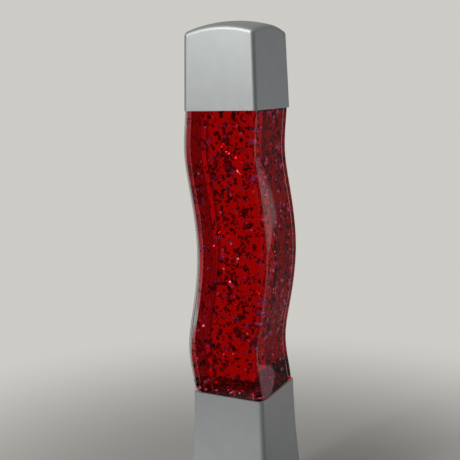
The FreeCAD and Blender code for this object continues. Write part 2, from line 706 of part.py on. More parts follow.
def make_heat_shield():
    inner = size.shield_radius - size.shield_wall
    rim = size.shield_radius + size.shield_flange
    flange_foot = seat_top - size.shield_wall
    tube = turned(
        "shield_tube",
        (inner, size.shield_foot),
        (size.shield_radius, size.shield_foot),
        (size.shield_radius, flange_foot),
        (rim, flange_foot),
        (rim, seat_top),
        (inner, seat_top),
    )
    vents = []
    for number in range(SHIELD_VENTS // 2):
        angle = 2 * math.pi * number / SHIELD_VENTS
        across = (size.shield_radius + MARGIN) * 2
        turn = Rotation(Vector(math.cos(angle), math.sin(angle), 0), 90)
        start = across / 2
        vents.append(cylinder(f"shield_vent_{number + 1}", size.shield_vent_radius, across,
                              start * -math.sin(angle), start * math.cos(angle),
                              size.shield_foot + size.shield_vent_height, turn))
    keep("heat_shield", cut("shield_cut", tube, *vents))


# The bottom plate, its screws and the feet

def make_bottom_plate():
    half_slot = size.vent_length / 2
    radius = size.vent_width / 2
    loops = [rectangle(plate_half, plate_half)]
    for number in range(VENT_SLOTS):
        loops.append(stadium(half_slot, radius, size.vent_start + size.vent_pitch * number))
    plate = padded("plate_blank", "XY_Plane", loops, size.plate_thickness, offset=plate_foot)
    reach = plate_half.value - size.plate_corner_radius.value

    def corner(edge):
        middle = edge.BoundBox.Center
        upright = edge.BoundBox.ZLength > size.plate_thickness.value / 2
        return upright and abs(middle.x) > reach and abs(middle.y) > reach

    round_edges(plate, size.plate_corner_radius, corner)
    holes = []
    feet = []
    screws = []
    for number, (side_x, side_y) in enumerate(CORNERS, start=1):
        leg_x, leg_y = leg_place * side_x, leg_place * side_y
        foot_x, foot_y = foot_place * side_x, foot_place * side_y
        holes.append(cylinder(f"plate_hole_{number}", screw_hole, size.plate_thickness + MARGIN * 2, leg_x,
                              leg_y, plate_foot - MARGIN))
        holes.append(cylinder(f"foot_pocket_{number}", size.foot_radius + size.contact_gap,
                              size.foot_recess + MARGIN, foot_x, foot_y, plate_foot - MARGIN))
        screws.append(screw(f"plate_screw_{number}", leg_x, leg_y, plate_foot, size.plate_screw_length,
                            size.screw_radius, size.head_radius))
        foot = turned(
            f"foot_{number}",
            (0, 0),
            (size.foot_radius - size.foot_chamfer, 0),
            (size.foot_radius, size.foot_chamfer),
            (size.foot_radius, plate_foot + size.foot_recess),
            (0, plate_foot + size.foot_recess),
        )
        feet.append(place(foot, foot_x, foot_y, 0))
    for number, side in enumerate(SIDES, start=1):
        through = size.plate_thickness + MARGIN * 2
        holes.append(cylinder(f"bracket_plate_hole_{number}", screw_hole, through, 0,
                              size.bracket_hole_spacing / 2 * side, plate_foot - MARGIN))
    holes.append(cylinder("block_plate_hole", size.block_screw_radius + size.screw_clearance,
                          size.plate_thickness + MARGIN, -block_place, 0, plate_foot + size.plate_skin))
    keep("bottom_plate", cut("plate_cut", plate, *holes))
    keep("plate_screws", group("plate_screw_group", *screws))
    keep("feet", group("foot_group", *feet))


# The bracket and the lampholder

def make_bracket():
    sheet_gauge = size.bracket_sheet
    outer = size.bracket_span / 2
    inner = outer - sheet_gauge
    end = size.bracket_length / 2
    foot_top = plate_top + sheet_gauge
    under = bracket_top - sheet_gauge
    hat = [
        (-end, plate_top),
        (-inner, plate_top),
        (-inner, under),
        (inner, under),
        (inner, plate_top),
        (end, plate_top),
        (end, foot_top),
        (outer, foot_top),
        (outer, bracket_top),
        (-outer, bracket_top),
        (-outer, foot_top),
        (-end, foot_top),
    ]
    strip = padded("bracket_strip", "YZ_Plane", [hat], size.bracket_width, both_ways=True)

    def bend(wide_y, wide_z, narrow_y, narrow_z):
        def chosen(edge):
            middle = edge.BoundBox.Center
            near = sheet_gauge.value / 4
            at_wide = math.hypot(abs(middle.y) - wide_y.value, middle.z - wide_z.value) < near
            at_narrow = math.hypot(abs(middle.y) - narrow_y.value, middle.z - narrow_z.value) < near
            return edge.BoundBox.XLength > size.bracket_width.value / 2 and (at_wide or at_narrow)
        return chosen

    round_edges(strip, size.bend_radius, bend(outer, foot_top, inner, under))
    round_edges(strip, size.bend_radius + sheet_gauge, bend(outer, bracket_top, inner, plate_top))
    holes = []
    short_screws = []
    holder_screws = []
    for number, side in enumerate(SIDES, start=1):
        foot_y = size.bracket_hole_spacing / 2 * side
        top_y = size.holder_screw_spacing / 2 * side
        through = sheet_gauge + MARGIN * 2
        holes.append(cylinder(f"bracket_foot_hole_{number}", screw_hole, through, 0, foot_y,
                              plate_top - MARGIN))
        holes.append(cylinder(f"bracket_top_hole_{number}", screw_hole, through, 0, top_y, under - MARGIN))
        short_screws.append(screw(f"bracket_screw_{number}", 0, foot_y, plate_foot, size.short_screw_length,
                                  size.screw_radius, size.head_radius))
        holder_screws.append(screw(f"holder_screw_{number}", 0, top_y, under, size.holder_screw_length,
                                   size.screw_radius, size.head_radius))
    keep("holder_bracket", cut("bracket_cut", strip, *holes))
    keep("bracket_screws", group("bracket_screw_group", *short_screws))
    keep("holder_screws", group("holder_screw_group", *holder_screws))


lead_bore_height = holder_foot + size.holder_base_height / 2
lead_bore_start = size.holder_radius - size.lead_bore_depth


def make_lampholder():
    spigot = size.holder_radius - size.holder_wall - size.seat_clearance
    blank = turned(
        "holder_blank",
        (0, holder_foot),
        (size.holder_radius, holder_foot),
        (size.holder_radius, spigot_foot),
        (spigot, spigot_foot),
        (spigot, spigot_top),
        (0, spigot_top),
    )
    lead_bore = size.lead_radius + size.contact_gap
    holes = [
        cylinder("holder_bore_right", lead_bore, size.holder_radius, lead_bore_start, 0, lead_bore_height,
                 ALONG_X),
        cylinder("holder_bore_front", lead_bore, size.holder_radius, 0,
                 -(lead_bore_start + size.holder_radius), lead_bore_height, ALONG_Y),
    ]
    pilot_height = size.holder_screw_length - size.bracket_sheet + size.pilot_reserve
    for number, side in enumerate(SIDES, start=1):
        holes.append(cylinder(f"holder_pilot_{number}", screw_hole, pilot_height, 0,
                              size.holder_screw_spacing / 2 * side, holder_foot))
    keep("lampholder_base", cut("holder_base_cut", blank, *holes))

    inner = size.holder_radius - size.holder_wall
    sleeve_top = spigot_foot + size.sleeve_height
    sleeve = turned(
        "lampholder_sleeve_body",
        (inner, spigot_foot),
        (size.holder_radius, spigot_foot),
        (size.holder_radius, sleeve_top - size.sleeve_chamfer),
        (size.holder_radius - size.sleeve_chamfer, sleeve_top),
        (inner, sleeve_top),
    )
    keep("lampholder_sleeve", sleeve)

    liner_outer = liner_inner + size.liner_wall
    liner = turned(
        "thread_liner_body",
        (size.liner_opening, spigot_top),
        (liner_outer, spigot_top),
        (liner_outer, spigot_top + size.liner_height),
        (liner_inner, spigot_top + size.liner_height),
        (liner_inner, spigot_top + size.liner_wall),
        (size.liner_opening, spigot_top + size.liner_wall),
    )
    keep("thread_liner", liner)

    contact = turned(
        "centre_contact_body",
        (0, spigot_top),
        (size.contact_radius, spigot_top),
        (size.contact_radius, contact_top - size.contact_chamfer),
        (size.contact_radius - size.contact_chamfer, contact_top),
        (0, contact_top),
    )
    keep("centre_contact", contact)


# The bulb

def bulb_form(label, inset):
    """The bulb's glass as a solid, drawn in by the inset on every side."""
    neck = size.thread_radius - size.bulb_shell_wall - size.contact_gap - inset
    foot = bulb_shell_top - size.bulb_neck_length + inset
    cone_top = bulb_shell_top + size.bulb_cone_height
    belt = cone_top + size.bulb_belt_height
    shoulder = belt + size.bulb_shoulder_height
    rise = size.bulb_dome_height
    reach = size.bulb_shoulder_radius - inset
    dome_radius = (reach * reach + rise * rise) / (rise * 2)
    cone_radius = size.bulb_radius - size.bulb_belt_inset - inset
    return turned(
        label,
        (0, foot),
        (neck, foot),
        (neck, bulb_shell_top),
        Arc(size.bulb_cone_radius + inset, -1),
        (cone_radius, cone_top),
        Arc(size.bulb_belt_radius - inset, 1),
        (size.bulb_radius - inset, belt),
        Arc(size.bulb_shoulder_bend - inset, 1),
        (reach, shoulder - inset),
        Arc(dome_radius, 1),
        (0, shoulder - inset + rise),
    )


def make_bulb():
    glass = cut("bulb_glass_cut", bulb_form("bulb_outer", ZERO), bulb_form("bulb_inner", size.bulb_wall))
    keep("bulb_glass", glass)

    shell_inner = size.thread_radius - size.bulb_shell_wall
    shell = turned(
        "bulb_shell_body",
        (size.bulb_shell_opening, bulb_shell_foot),
        (size.thread_radius, bulb_shell_foot),
        (size.thread_radius, bulb_shell_top),
        (shell_inner, bulb_shell_top),
        (shell_inner, bulb_shell_foot + size.bulb_shell_wall),
        (size.bulb_shell_opening, bulb_shell_foot + size.bulb_shell_wall),
    )
    keep("bulb_shell", shell)

    insulator = turned(
        "bulb_insulator_body",
        (0, insulator_foot),
        (size.bulb_insulator_radius, insulator_foot),
        (shell_inner, bulb_shell_foot),
        (0, bulb_shell_foot),
    )
    keep("bulb_insulator", insulator)

    tip = turned(
        "bulb_tip_body",
        (0, tip_foot),
        (size.bulb_tip_radius - size.bulb_tip_chamfer, tip_foot),
        (size.bulb_tip_radius, tip_foot + size.bulb_tip_chamfer),
        (size.bulb_tip_radius, insulator_foot),
        (0, insulator_foot),
    )
    keep("bulb_tip", tip)

    stem_foot = bulb_shell_top - size.bulb_neck_length + size.bulb_wall
    stem_top = stem_foot + size.stem_height
    stem = turned(
        "bulb_stem_body",
        (0, stem_foot),
        (size.stem_radius + size.stem_flare, stem_foot),
        (size.stem_radius, stem_foot + size.stem_flare_height),
        (size.stem_radius, stem_top - size.stem_chamfer),
        (size.stem_radius - size.stem_chamfer, stem_top),
        (0, stem_top),
    )
    keep("bulb_stem", stem)

    wires = []
    wire_place = size.filament_spread / 2
    for number, side in enumerate(SIDES, start=1):
        wires.append(cylinder(f"filament_wire_{number}", size.filament_wire_radius, size.filament_wire_height,
                              wire_place * side, 0, stem_top))
    keep("filament_wires", group("filament_wire_group", *wires))
    filament = doc.addObject("Part::Torus", "filament_arch")
    bind(filament, Radius1=wire_place, Radius2=size.filament_radius)
    filament.Angle3 = 180
    place(filament, 0, 0, stem_top + size.filament_wire_height, Rotation(Vector(1, 0, 0), 90))
    keep("filament", filament)


# The bottle and what it holds

def wave_stations():
    """Height and sideways offset of the bottle's middle line, from below its foot to above its shoulder."""
    stations = [(vessel_low - size.wave_run_out, 0.0)]
    swings = [
        (1.0, size.wave_foot),
        (size.wave_lower_share, size.wave_lower),
        (size.wave_return_share, size.wave_return),
        (size.wave_middle_share, size.wave_middle),
        (size.wave_cross_share, size.wave_cross),
        (size.wave_upper_share, size.wave_upper),
        (0.0, size.wave_top),
    ]
    for share, offset in swings:
        height = vessel_high - size.vessel_height * share
        stations.append((height, offset.value))
    stations.append((vessel_high + size.wave_run_out, 0.0))
    return [Vector(offset, 0, height.value) for height, offset in stations]


def wave_side(half):
    """One wavy side of the bottle as a smooth curve."""
    curve = Part.BSplineCurve()
    curve.interpolate([point + Vector(half, 0, 0) for point in wave_stations()])
    return curve


def wave_bar(label, half_x, half_y, radius, low, high):
    """A wavy square bar with its long edges rounded, between two heights."""
    right = wave_side(half_x.value)
    left = wave_side(-half_x.value)
    ends = [
        Part.makeLine(left.StartPoint, right.StartPoint),
        right.toShape(),
        Part.makeLine(right.EndPoint, left.EndPoint),
        left.toShape(),
    ]
    face = Part.Face(Part.Wire(Part.sortEdges(ends)[0]))
    depth = half_y.value * 2
    bar = face.extrude(Vector(0, depth, 0))
    bar.translate(Vector(0, -half_y.value, 0))
    long_ones = [edge for edge in bar.Edges if long_edge(bar.BoundBox.ZLength * 0.9)(edge)]
    bar = bar.makeFillet(radius.value, long_ones)
    reach = half_x.value * 4
    height = high.value - low.value
    slab = Part.makeBox(reach, reach, height, Vector(-reach / 2, -reach / 2, low.value))
    feature = doc.addObject("Part::Feature", label)
    feature.Shape = bar.common(slab)
    return feature


collar_half = size.cap_foot_width / 2 - size.cap_wall - size.cap_clearance
shoulder_foot = vessel_high + size.spigot_height
shoulder_top = shoulder_foot + size.shoulder_height
neck_top = shoulder_top + size.neck_height
cavity_half_x = size.vessel_width / 2 - size.side_wall
cavity_half_y = size.vessel_width / 2 - size.front_wall


def shouldered(label, half, foot, shoulder, top, neck, radius):
    """A square block whose top slopes in from its corners to a round neck."""
    corner = half * size.shoulder_spread
    block = square_block(f"{label}_square", half, foot, top - foot, radius)
    cone = turned(
        f"{label}_cone",
        (0, foot - MARGIN),
        (corner, foot - MARGIN),
        (corner, shoulder),
        (neck, top),
        (0, top),
    )
    return common(f"{label}_shouldered", block, cone)


def bottle_space(label, inset):
    """The space inside the bottle, drawn in by the inset."""
    wavy = wave_bar(f"{label}_wave", cavity_half_x - inset, cavity_half_y - inset,
                    size.cavity_edge_radius - inset, cavity_floor + inset, vessel_high)
    half = collar_half - size.front_wall - inset
    lowering = size.inner_shoulder_drop + inset
    upper = shouldered(f"{label}_upper", half, vessel_high - OVERLAP, shoulder_foot - lowering,
                       shoulder_top - lowering, size.bore_radius - inset, size.cavity_edge_radius - inset)
    bore_foot = shoulder_top - lowering - OVERLAP
    bore = cylinder(f"{label}_bore", size.bore_radius - inset, neck_top - bore_foot + MARGIN, 0, 0, bore_foot)
    return [wavy, upper, bore]


def make_vessel():
    wavy = wave_bar("vessel_wave", size.vessel_width / 2, size.vessel_width / 2, size.vessel_edge_radius,
                    vessel_low, vessel_high)
    foot = square_block("vessel_foot_block", foot_half, vessel_foot, vessel_low - vessel_foot,
                        size.foot_edge_radius)
    collar = shouldered("vessel_collar", collar_half, vessel_high, shoulder_foot, shoulder_top,
                        size.neck_radius, size.foot_edge_radius)
    neck = cylinder("vessel_neck", size.neck_radius, size.neck_height + OVERLAP, 0, 0,
                    shoulder_top - OVERLAP)
    solid = fuse("vessel_solid", wavy, foot, collar, neck)
    keep("vessel", cut("vessel_cut", solid, *bottle_space("cavity", ZERO)))

    seal_foot = neck_top
    seal = cylinder("closure_seal_disc", size.neck_radius - size.contact_gap, size.seal_thickness, 0, 0,
                    seal_foot)
    keep("closure_seal", seal)
    closure_top = seal_foot + size.seal_thickness + size.closure_wall
    inner = size.neck_radius + size.contact_gap
    outer = inner + size.closure_wall
    skirt_foot = neck_top - size.closure_skirt
    closure = turned(
        "closure_cap_body",
        (inner, skirt_foot),
        (outer, skirt_foot),
        (outer, closure_top - size.closure_wall),
        (outer - size.closure_wall, closure_top),
        (0, closure_top),
        (0, closure_top - size.closure_wall),
        (inner, closure_top - size.closure_wall),
    )
    keep("closure_cap", closure)


def flake(middle, turn, across, thickness):
    """One six-sided flake."""
    radius = across / math.sqrt(3)
    corners = [Vector(radius * math.cos(math.radians(60 * k)), radius * math.sin(math.radians(60 * k)), 0)
               for k in range(7)]
    plate = Part.Face(Part.makePolygon(corners)).extrude(Vector(0, 0, thickness))
    plate.Placement = Placement(middle, turn)
    return plate


def wave_offset(curve, height):
    """Sideways offset of the wave at a height."""
    low, high = curve.FirstParameter, curve.LastParameter
    for _ in range(40):
        middle = (low + high) / 2
        if curve.value(middle).z < height:
            low = middle
        else:
            high = middle
    return curve.value(low).x


def make_contents():
    low = cavity_floor + size.liquid_gap
    settled = wave_bar("settled_heap", cavity_half_x - size.settled_gap, cavity_half_y - size.settled_gap,
                       size.cavity_edge_radius - size.settled_gap, low, low + size.settled_height)
    keep("settled_glitter", settled)

    curve = wave_side(0.0)
    margin = size.flake_width.value
    reach_x = cavity_half_x.value - size.liquid_gap.value - margin
    reach_y = cavity_half_y.value - size.liquid_gap.value - margin
    floor = low.value + size.settled_height.value + margin
    ceiling = vessel_high.value - margin
    count = int((ceiling - floor) / size.flake_pitch.value)
    golden = (math.sqrt(5) - 1) / 2
    silver = math.sqrt(2) - 1
    flakes = []
    for number in range(count):
        height = floor + (ceiling - floor) * (number + 0.5) / count
        share_x = 2 * ((number * golden) % 1) - 1
        share_y = 2 * ((number * silver) % 1) - 1
        middle = Vector(wave_offset(curve, height) + reach_x * share_x, reach_y * share_y, height)
        turn = Rotation(137.5 * number, 60 * share_y, 75 * share_x)
        flakes.append(flake(middle, turn, size.flake_width.value, size.flake_thickness.value))
    glitter = doc.addObject("Part::Feature", "glitter_flake_group")
    glitter.Shape = Part.makeCompound(flakes)
    keep("glitter_flakes", glitter)

    whole = fuse("liquid_whole", *bottle_space("liquid", size.liquid_gap))
    level = vessel_high + size.fill_height
    reach = size.vessel_width * 2
    filled = common("liquid_filled", whole, box("liquid_level_box", reach, reach, level, 0, 0, 0))
    pocket = cut("liquid_floor_cut", filled, settled)
    liquid = doc.addObject("Part::Cut", "liquid_cut")
    liquid.Base = pocket
    liquid.Tool = glitter
    keep("liquid", liquid)


# The cap

def frustum(label, foot_half, top_half, foot, height):
    """A square block that narrows upwards."""
    wedge = doc.addObject("Part::Wedge", label)
    foot_half, top_half = Size.of(foot_half), Size.of(top_half)
    bind(wedge, Xmin=-foot_half, Xmax=foot_half, Zmin=-foot_half, Zmax=foot_half)
    bind(wedge, X2min=-top_half, X2max=top_half, Z2min=-top_half, Z2max=top_half)
    bind(wedge, Ymin=0, Ymax=height)
    return place(wedge, 0, 0, foot, Rotation(Vector(1, 0, 0), 90))


def domed_block(label, inset, foot):
    """The cap's form, drawn in by the inset."""
    over = size.cap_arch_radius
    foot_half = size.cap_foot_width / 2 - inset
    top_half = size.cap_top_width / 2 - inset
    lean = (foot_half - top_half) / size.cap_height
    block = frustum(f"{label}_frustum", foot_half, top_half - lean * over, foot, size.cap_height + over)
    ball = doc.addObject("Part::Sphere", f"{label}_ball")
    bind(ball, Radius=size.dome_radius - inset)
    place(ball, 0, 0, cap_top - size.dome_radius)
    return common(f"{label}_domed", block, ball)


def make_cap():
    outer = finished("cap_outer", domed_block("cap_outer_form", ZERO, cap_foot))
    round_edges(outer, size.cap_edge_radius, long_edge(size.cap_height.value * 0.6))
    shoulder = cap_foot.value + size.cap_height.value * 0.6

    def arch(edge):
        return edge.BoundBox.ZMin > shoulder

    round_edges(outer, size.cap_arch_radius, arch)
    inner = finished("cap_inner", domed_block("cap_inner_form", size.cap_wall, cap_foot))
    round_edges(inner, size.cap_inner_radius, long_edge(size.cap_height.value * 0.6))
    keep("cap_shell", cut("cap_cut", outer, inner))


# The switch on the back

pivot_y = size.panel_inset - size.pivot_depth
fulcrum_y = size.panel_inset - size.fulcrum_depth
blade_back = fulcrum_y + size.contact_gap
blade_front = blade_back + size.blade_sheet
plunger_reach = pivot_y - blade_front - size.contact_gap
housing_back = size.panel_inset - size.housing_depth


def make_switch():
    middle = size.switch_height
    depth_middle = size.panel_inset - size.housing_depth / 2
    case = box("housing_case", size.housing_width, size.housing_depth, size.housing_height, 0, depth_middle,
               middle - size.housing_height / 2)
    bezel_blank = padded("bezel_blank", "XZ_Plane", [rectangle(size.bezel_width / 2, size.bezel_height / 2,
                                                              ZERO, middle)],
                         size.bezel_thickness, offset=-(size.panel_inset + size.bezel_thickness))
    front = size.panel_inset.value + size.bezel_thickness.value

    def front_edge(edge):
        return edge.BoundBox.YLength < 0.01 and abs(edge.BoundBox.YMax - front) < 0.01

    round_edges(bezel_blank, size.bezel_rounding, front_edge)
    inside_width = size.housing_width - size.housing_wall * 2
    inside_height = size.housing_height - size.housing_end_wall * 2
    inside_depth = size.housing_depth - size.housing_floor + size.bezel_thickness + MARGIN
    inside_back = housing_back + size.housing_floor
    space = box("housing_space", inside_width, inside_depth, inside_height, 0, inside_back + inside_depth / 2,
                middle - inside_height / 2)
    bore_length = size.housing_width + MARGIN
    pivot_bore = cylinder("pivot_bore", size.trunnion_radius + size.trunnion_clearance, bore_length,
                          -(bore_length / 2), pivot_y, middle, ALONG_X)
    slots = []
    tabs = {
        "switch_common_tab": (middle, fulcrum_y),
        "switch_load_tab": (middle - size.tab_spacing, fulcrum_y - size.load_tab_drop),
    }
    slack = size.tab_clearance * 2
    for node, (height, front_y) in tabs.items():
        back_y = housing_back - size.tab_reach
        length = front_y - back_y
        slots.append(box(f"{node}_slot", size.tab_width + slack, size.housing_floor * 2 + MARGIN,
                         size.tab_thickness + slack, 0, housing_back,
                         height - size.tab_thickness / 2 - size.tab_clearance))
        keep(node, box(f"{node}_box", size.tab_width, length, size.tab_thickness, 0, back_y + length / 2,
                       height - size.tab_thickness / 2))
    solid = fuse("housing_solid", case, bezel_blank)
    keep("switch_housing", cut("housing_cut", solid, space, pivot_bore, *slots))

    rocker_width = inside_width - size.rocker_gap * 2
    end = Arc(size.rocker_end_radius, 1)
    profile = [
        (-size.rocker_back, -size.rocker_back_half),
        end,
        (size.rocker_front, -size.rocker_front_half),
        Arc(size.rocker_dish_radius, -1),
        (size.rocker_front, size.rocker_front_half),
        end,
        (-size.rocker_back, size.rocker_back_half),
    ]
    paddle = padded("rocker_paddle", "YZ_Plane", [profile], rocker_width, both_ways=True)
    trunnion_length = size.housing_width - size.rocker_gap
    trunnions = cylinder("rocker_trunnions", size.trunnion_radius, trunnion_length, -(trunnion_length / 2),
                         0, 0, ALONG_X)
    plunger_length = plunger_reach - size.plunger_radius
    plunger = cylinder("rocker_plunger", size.plunger_radius, plunger_length, 0, 0, 0,
                       Rotation(Vector(1, 0, 0), 90))
    nose = doc.addObject("Part::Sphere", "rocker_plunger_nose")
    bind(nose, Radius=size.plunger_radius)
    place(nose, 0, -plunger_length, 0)
    rocker = fuse("rocker_solid", paddle, trunnions, plunger, nose)
    place(rocker, 0, pivot_y, middle, Rotation(Vector(1, 0, 0), -size.rocker_tilt.value))
    keep("switch_rocker", rocker)

    blade = doc.addObject("Part::Box", "blade_strip")
    bind(blade, Length=size.blade_width, Width=size.blade_sheet, Height=size.blade_length)
    place(blade, -(size.blade_width / 2), 0, -(size.blade_length / 2))
    bead = cylinder("blade_bead", size.bead_radius, size.bead_length, -(size.bead_length / 2),
                    size.blade_sheet, size.bead_height, ALONG_X)
    tilted = fuse("blade_solid", blade, bead)
    place(tilted, 0, blade_back, middle, Rotation(Vector(1, 0, 0), size.blade_tilt.value))
    keep("switch_blade", tilted)


# The cord's inlet, the terminal block and the inner leads

def make_cord_bush():
    lip_foot = -size.bush_wall - size.contact_gap
    end = lip_foot - size.bush_lip_length
    bush = turned(
        "cord_bush_body",
        (size.cord_bore_radius, end),
        (size.bush_radius - size.bush_taper, end),
        (size.bush_radius + size.bush_lip, lip_foot),
        (size.bush_radius, lip_foot),
        (size.bush_radius, 0),
        (size.bush_flange_radius, 0),
        (size.bush_flange_radius, size.bush_flange - size.bush_chamfer),
        (size.bush_flange_radius - size.bush_chamfer, size.bush_flange),
        (size.cord_bore_radius, size.bush_flange),
    )
    keep("cord_bush", place(bush, 0, bush_inset, size.bush_height, ALONG_Y))


way_height = plate_top + size.block_bore_height
outer_way = -(block_place + size.block_pitch / 2)
inner_way = -(block_place - size.block_pitch / 2)


def make_terminal_block():
    block_top = plate_top + size.block_height
    blank = box("block_blank", size.block_length, size.block_depth, size.block_height, -block_place, 0,
                plate_top)
    holes = [cylinder("block_screw_hole", size.block_screw_radius + size.screw_clearance,
                      size.block_height + MARGIN * 2, -block_place, 0, plate_top - MARGIN)]
    inserts = []
    grubs = []
    grub_foot = way_height + size.lead_radius + size.contact_gap
    for way, x in enumerate((outer_way, inner_way), start=1):
        way_length = size.block_depth + MARGIN
        holes.append(cylinder(f"way_{way}", size.insert_radius + size.contact_gap, way_length, x,
                              -(way_length / 2), way_height, ALONG_Y))
        start = -(size.insert_length / 2)
        tube = cylinder(f"insert_{way}_rod", size.insert_radius, size.insert_length, x, start, way_height,
                        ALONG_Y)
        openings = [cylinder(f"insert_{way}_bore", size.insert_bore, size.insert_length + MARGIN * 2, x,
                             start - MARGIN, way_height, ALONG_Y)]
        for number, side in enumerate(SIDES, start=1):
            y = size.grub_spacing / 2 * side
            openings.append(cylinder(f"insert_{way}_tap_{number}", size.grub_radius + size.tap_clearance,
                                     size.insert_radius + MARGIN, x, y, way_height))
            holes.append(cylinder(f"way_{way}_shaft_{number}", size.grub_radius + size.shaft_clearance,
                                  size.block_height, x, y, way_height))
            grub = cylinder(f"grub_{way}_{number}_rod", size.grub_radius, size.grub_height, x, y, grub_foot)
            slot = box(f"grub_{way}_{number}_slot", size.grub_radius * 2 + MARGIN, size.slot_width,
                       size.slot_depth, x, y, grub_foot + size.grub_height - size.slot_depth)
            grubs.append(cut(f"grub_{way}_{number}", grub, slot))
        inserts.append(cut(f"insert_{way}", tube, *openings))
    keep("terminal_block", cut("block_cut", blank, *holes))
    keep("terminal_inserts", group("insert_group", *inserts))
    keep("terminal_screws", group("grub_group", *grubs))
    keep("block_screw", screw("block_screw_body", -block_place, 0, block_top, size.block_screw_length,
                              size.block_screw_radius, size.block_head_radius, upward=False))


def lead(node, route, radius):
    """A wire along straight runs joined by tangent arcs, as wide as the shorter run allows."""
    points = [Vector(*(Size.of(amount).value for amount in spot)) for spot in route]
    edges = []
    start = points[0]
    tightest = None
    for before, corner, after in zip(points, points[1:], points[2:]):
        coming = corner - before
        going = after - corner
        turn = coming.getAngle(going)
        shorter = min(coming.Length, going.Length)
        bend = 0.45 * shorter / math.tan(turn / 2)
        tightest = bend if tightest is None else min(tightest, bend)
        inward = (before - corner).normalize()
        onward = (after - corner).normalize()
        entry = corner + inward * (0.45 * shorter)
        leave = corner + onward * (0.45 * shorter)
        bisector = (inward + onward).normalize()
        reach = bend / math.cos(turn / 2) - bend
        edges.append(Part.LineSegment(start, entry).toShape())
        edges.append(Part.Arc(entry, corner + bisector * reach, leave).toShape())
        start = leave
    edges.append(Part.LineSegment(start, points[-1]).toShape())
    path = Part.Wire(edges)
    ring = Part.Wire(Part.makeCircle(radius, points[0], points[1] - points[0]))
    wire = path.makePipeShell([ring], True, False)
    expected = math.pi * radius * radius * path.Length
    ratio = wire.Volume / expected
    print(f"{node}: length {path.Length:.1f}, tightest bend {tightest:.1f}, volume ratio {ratio:.4f}")
    feature = doc.addObject("Part::Feature", f"{node}_wire")
    feature.Shape = wire
    keep(node, feature)


def make_leads():
    radius = size.lead_radius.value
    tab_end = housing_back - size.tab_reach
    tab_middle_y = tab_end + size.tab_reach / 4
    tab_side = size.tab_width / 2
    load_height = size.switch_height - size.tab_spacing
    inside = -(size.grub_spacing / 2 + 1)
    front = -(size.block_depth / 2)
    leg_side = -(leg_place - size.leg_radius - size.lead_radius - size.lead_leg_gap)
    lead("lead_feed", [
        (outer_way, inside, way_height),
        (outer_way, front - 9, way_height),
        (outer_way, front - 9, way_height + 12),
        (outer_way + 1, front + 6, size.switch_height - 7),
        (outer_way + 4, front + 18, size.switch_height - 2),
        (-tab_side - 13, tab_middle_y - 1, size.switch_height),
        (-tab_side, tab_middle_y, size.switch_height),
    ], radius)
    lead("lead_switched", [
        (tab_side, tab_middle_y, load_height),
        (tab_side + 13, tab_middle_y, load_height),
        (tab_side + 21, tab_middle_y - 5, load_height - 5),
        (tab_side + 22, 4, lead_bore_height + 2),
        (size.holder_radius + 7, 0, lead_bore_height),
        (lead_bore_start, 0, lead_bore_height),
    ], radius)
    lead("lead_neutral", [
        (inner_way, inside, way_height),
        (inner_way, front - 5.5, way_height),
        (leg_side, front - 14, way_height + 3),
        (-5, front - 15, lead_bore_height - 1),
        (0, -size.holder_radius - 4, lead_bore_height),
        (0, -lead_bore_start, lead_bore_height),
    ], radius)


make_base_shell()
make_seat()
make_heat_shield()
make_bottom_plate()
make_bracket()
make_lampholder()
make_bulb()
make_vessel()
make_contents()
make_cap()
make_switch()
make_cord_bush()
make_terminal_block()
make_leads()
doc.recompute()

failed = [thing.Name for thing in doc.Objects if "Invalid" in thing.State or "Error" in thing.State]
if failed:
    raise SystemExit(f"objects that failed: {failed}")
for node, thing in parts.items():
    shape = thing.Shape
    if shape.isNull() or not shape.isValid() or not shape.Solids:
        raise SystemExit(f"{node} has no valid solid")

os.makedirs("parts", exist_ok=True)
for node, thing in parts.items():
    thing.Shape.exportStep(f"parts/{node}.step")
    print(f"{node}: {len(thing.Shape.Solids)} solid(s), {thing.Shape.Volume / 1000:.2f} cm3")
print(f"{len(parts)} sub-parts")
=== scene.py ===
"""A glitter lamp: a wavy clear bottle of red liquid and glitter between a silver cap and a silver base.

Lengths are in metres and angles in radians, unless a name says otherwise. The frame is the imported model's:
+Z is up, the front face looks along -Y and the bottle's wave sways along X.
"""
import logging
import math
from dataclasses import dataclass, field
from enum import Enum
from functools import cache

import bpy
import numpy as np
from mathutils import Matrix, Vector


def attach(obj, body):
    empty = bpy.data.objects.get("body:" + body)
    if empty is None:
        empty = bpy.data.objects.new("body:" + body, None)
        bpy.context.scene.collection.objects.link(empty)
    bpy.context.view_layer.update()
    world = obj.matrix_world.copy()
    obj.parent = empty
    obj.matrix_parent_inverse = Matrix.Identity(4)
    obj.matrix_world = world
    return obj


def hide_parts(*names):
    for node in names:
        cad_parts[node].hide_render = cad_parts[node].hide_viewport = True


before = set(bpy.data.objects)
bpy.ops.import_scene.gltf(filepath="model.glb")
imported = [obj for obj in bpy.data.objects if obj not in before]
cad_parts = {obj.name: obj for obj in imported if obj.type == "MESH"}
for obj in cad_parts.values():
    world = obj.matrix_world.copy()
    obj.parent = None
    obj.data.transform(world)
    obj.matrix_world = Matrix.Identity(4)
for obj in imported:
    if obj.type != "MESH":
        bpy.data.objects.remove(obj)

LOG = logging.getLogger("glitter_lamp")

Colour = tuple[float, float, float]
Point = tuple[float, float, float]
Span = tuple[float, float]
Room = tuple[Span, ...]

GLASS_INDEX = 1.49
LIQUID_INDEX = 1.43
BEDDED_INDEX = 1.06
SHARP_DEGREES = 30.0
ARC_STEPS = 9
FLAT_STEPS = 5
CLOSE_PAIR = 0.0004
SEED = 5


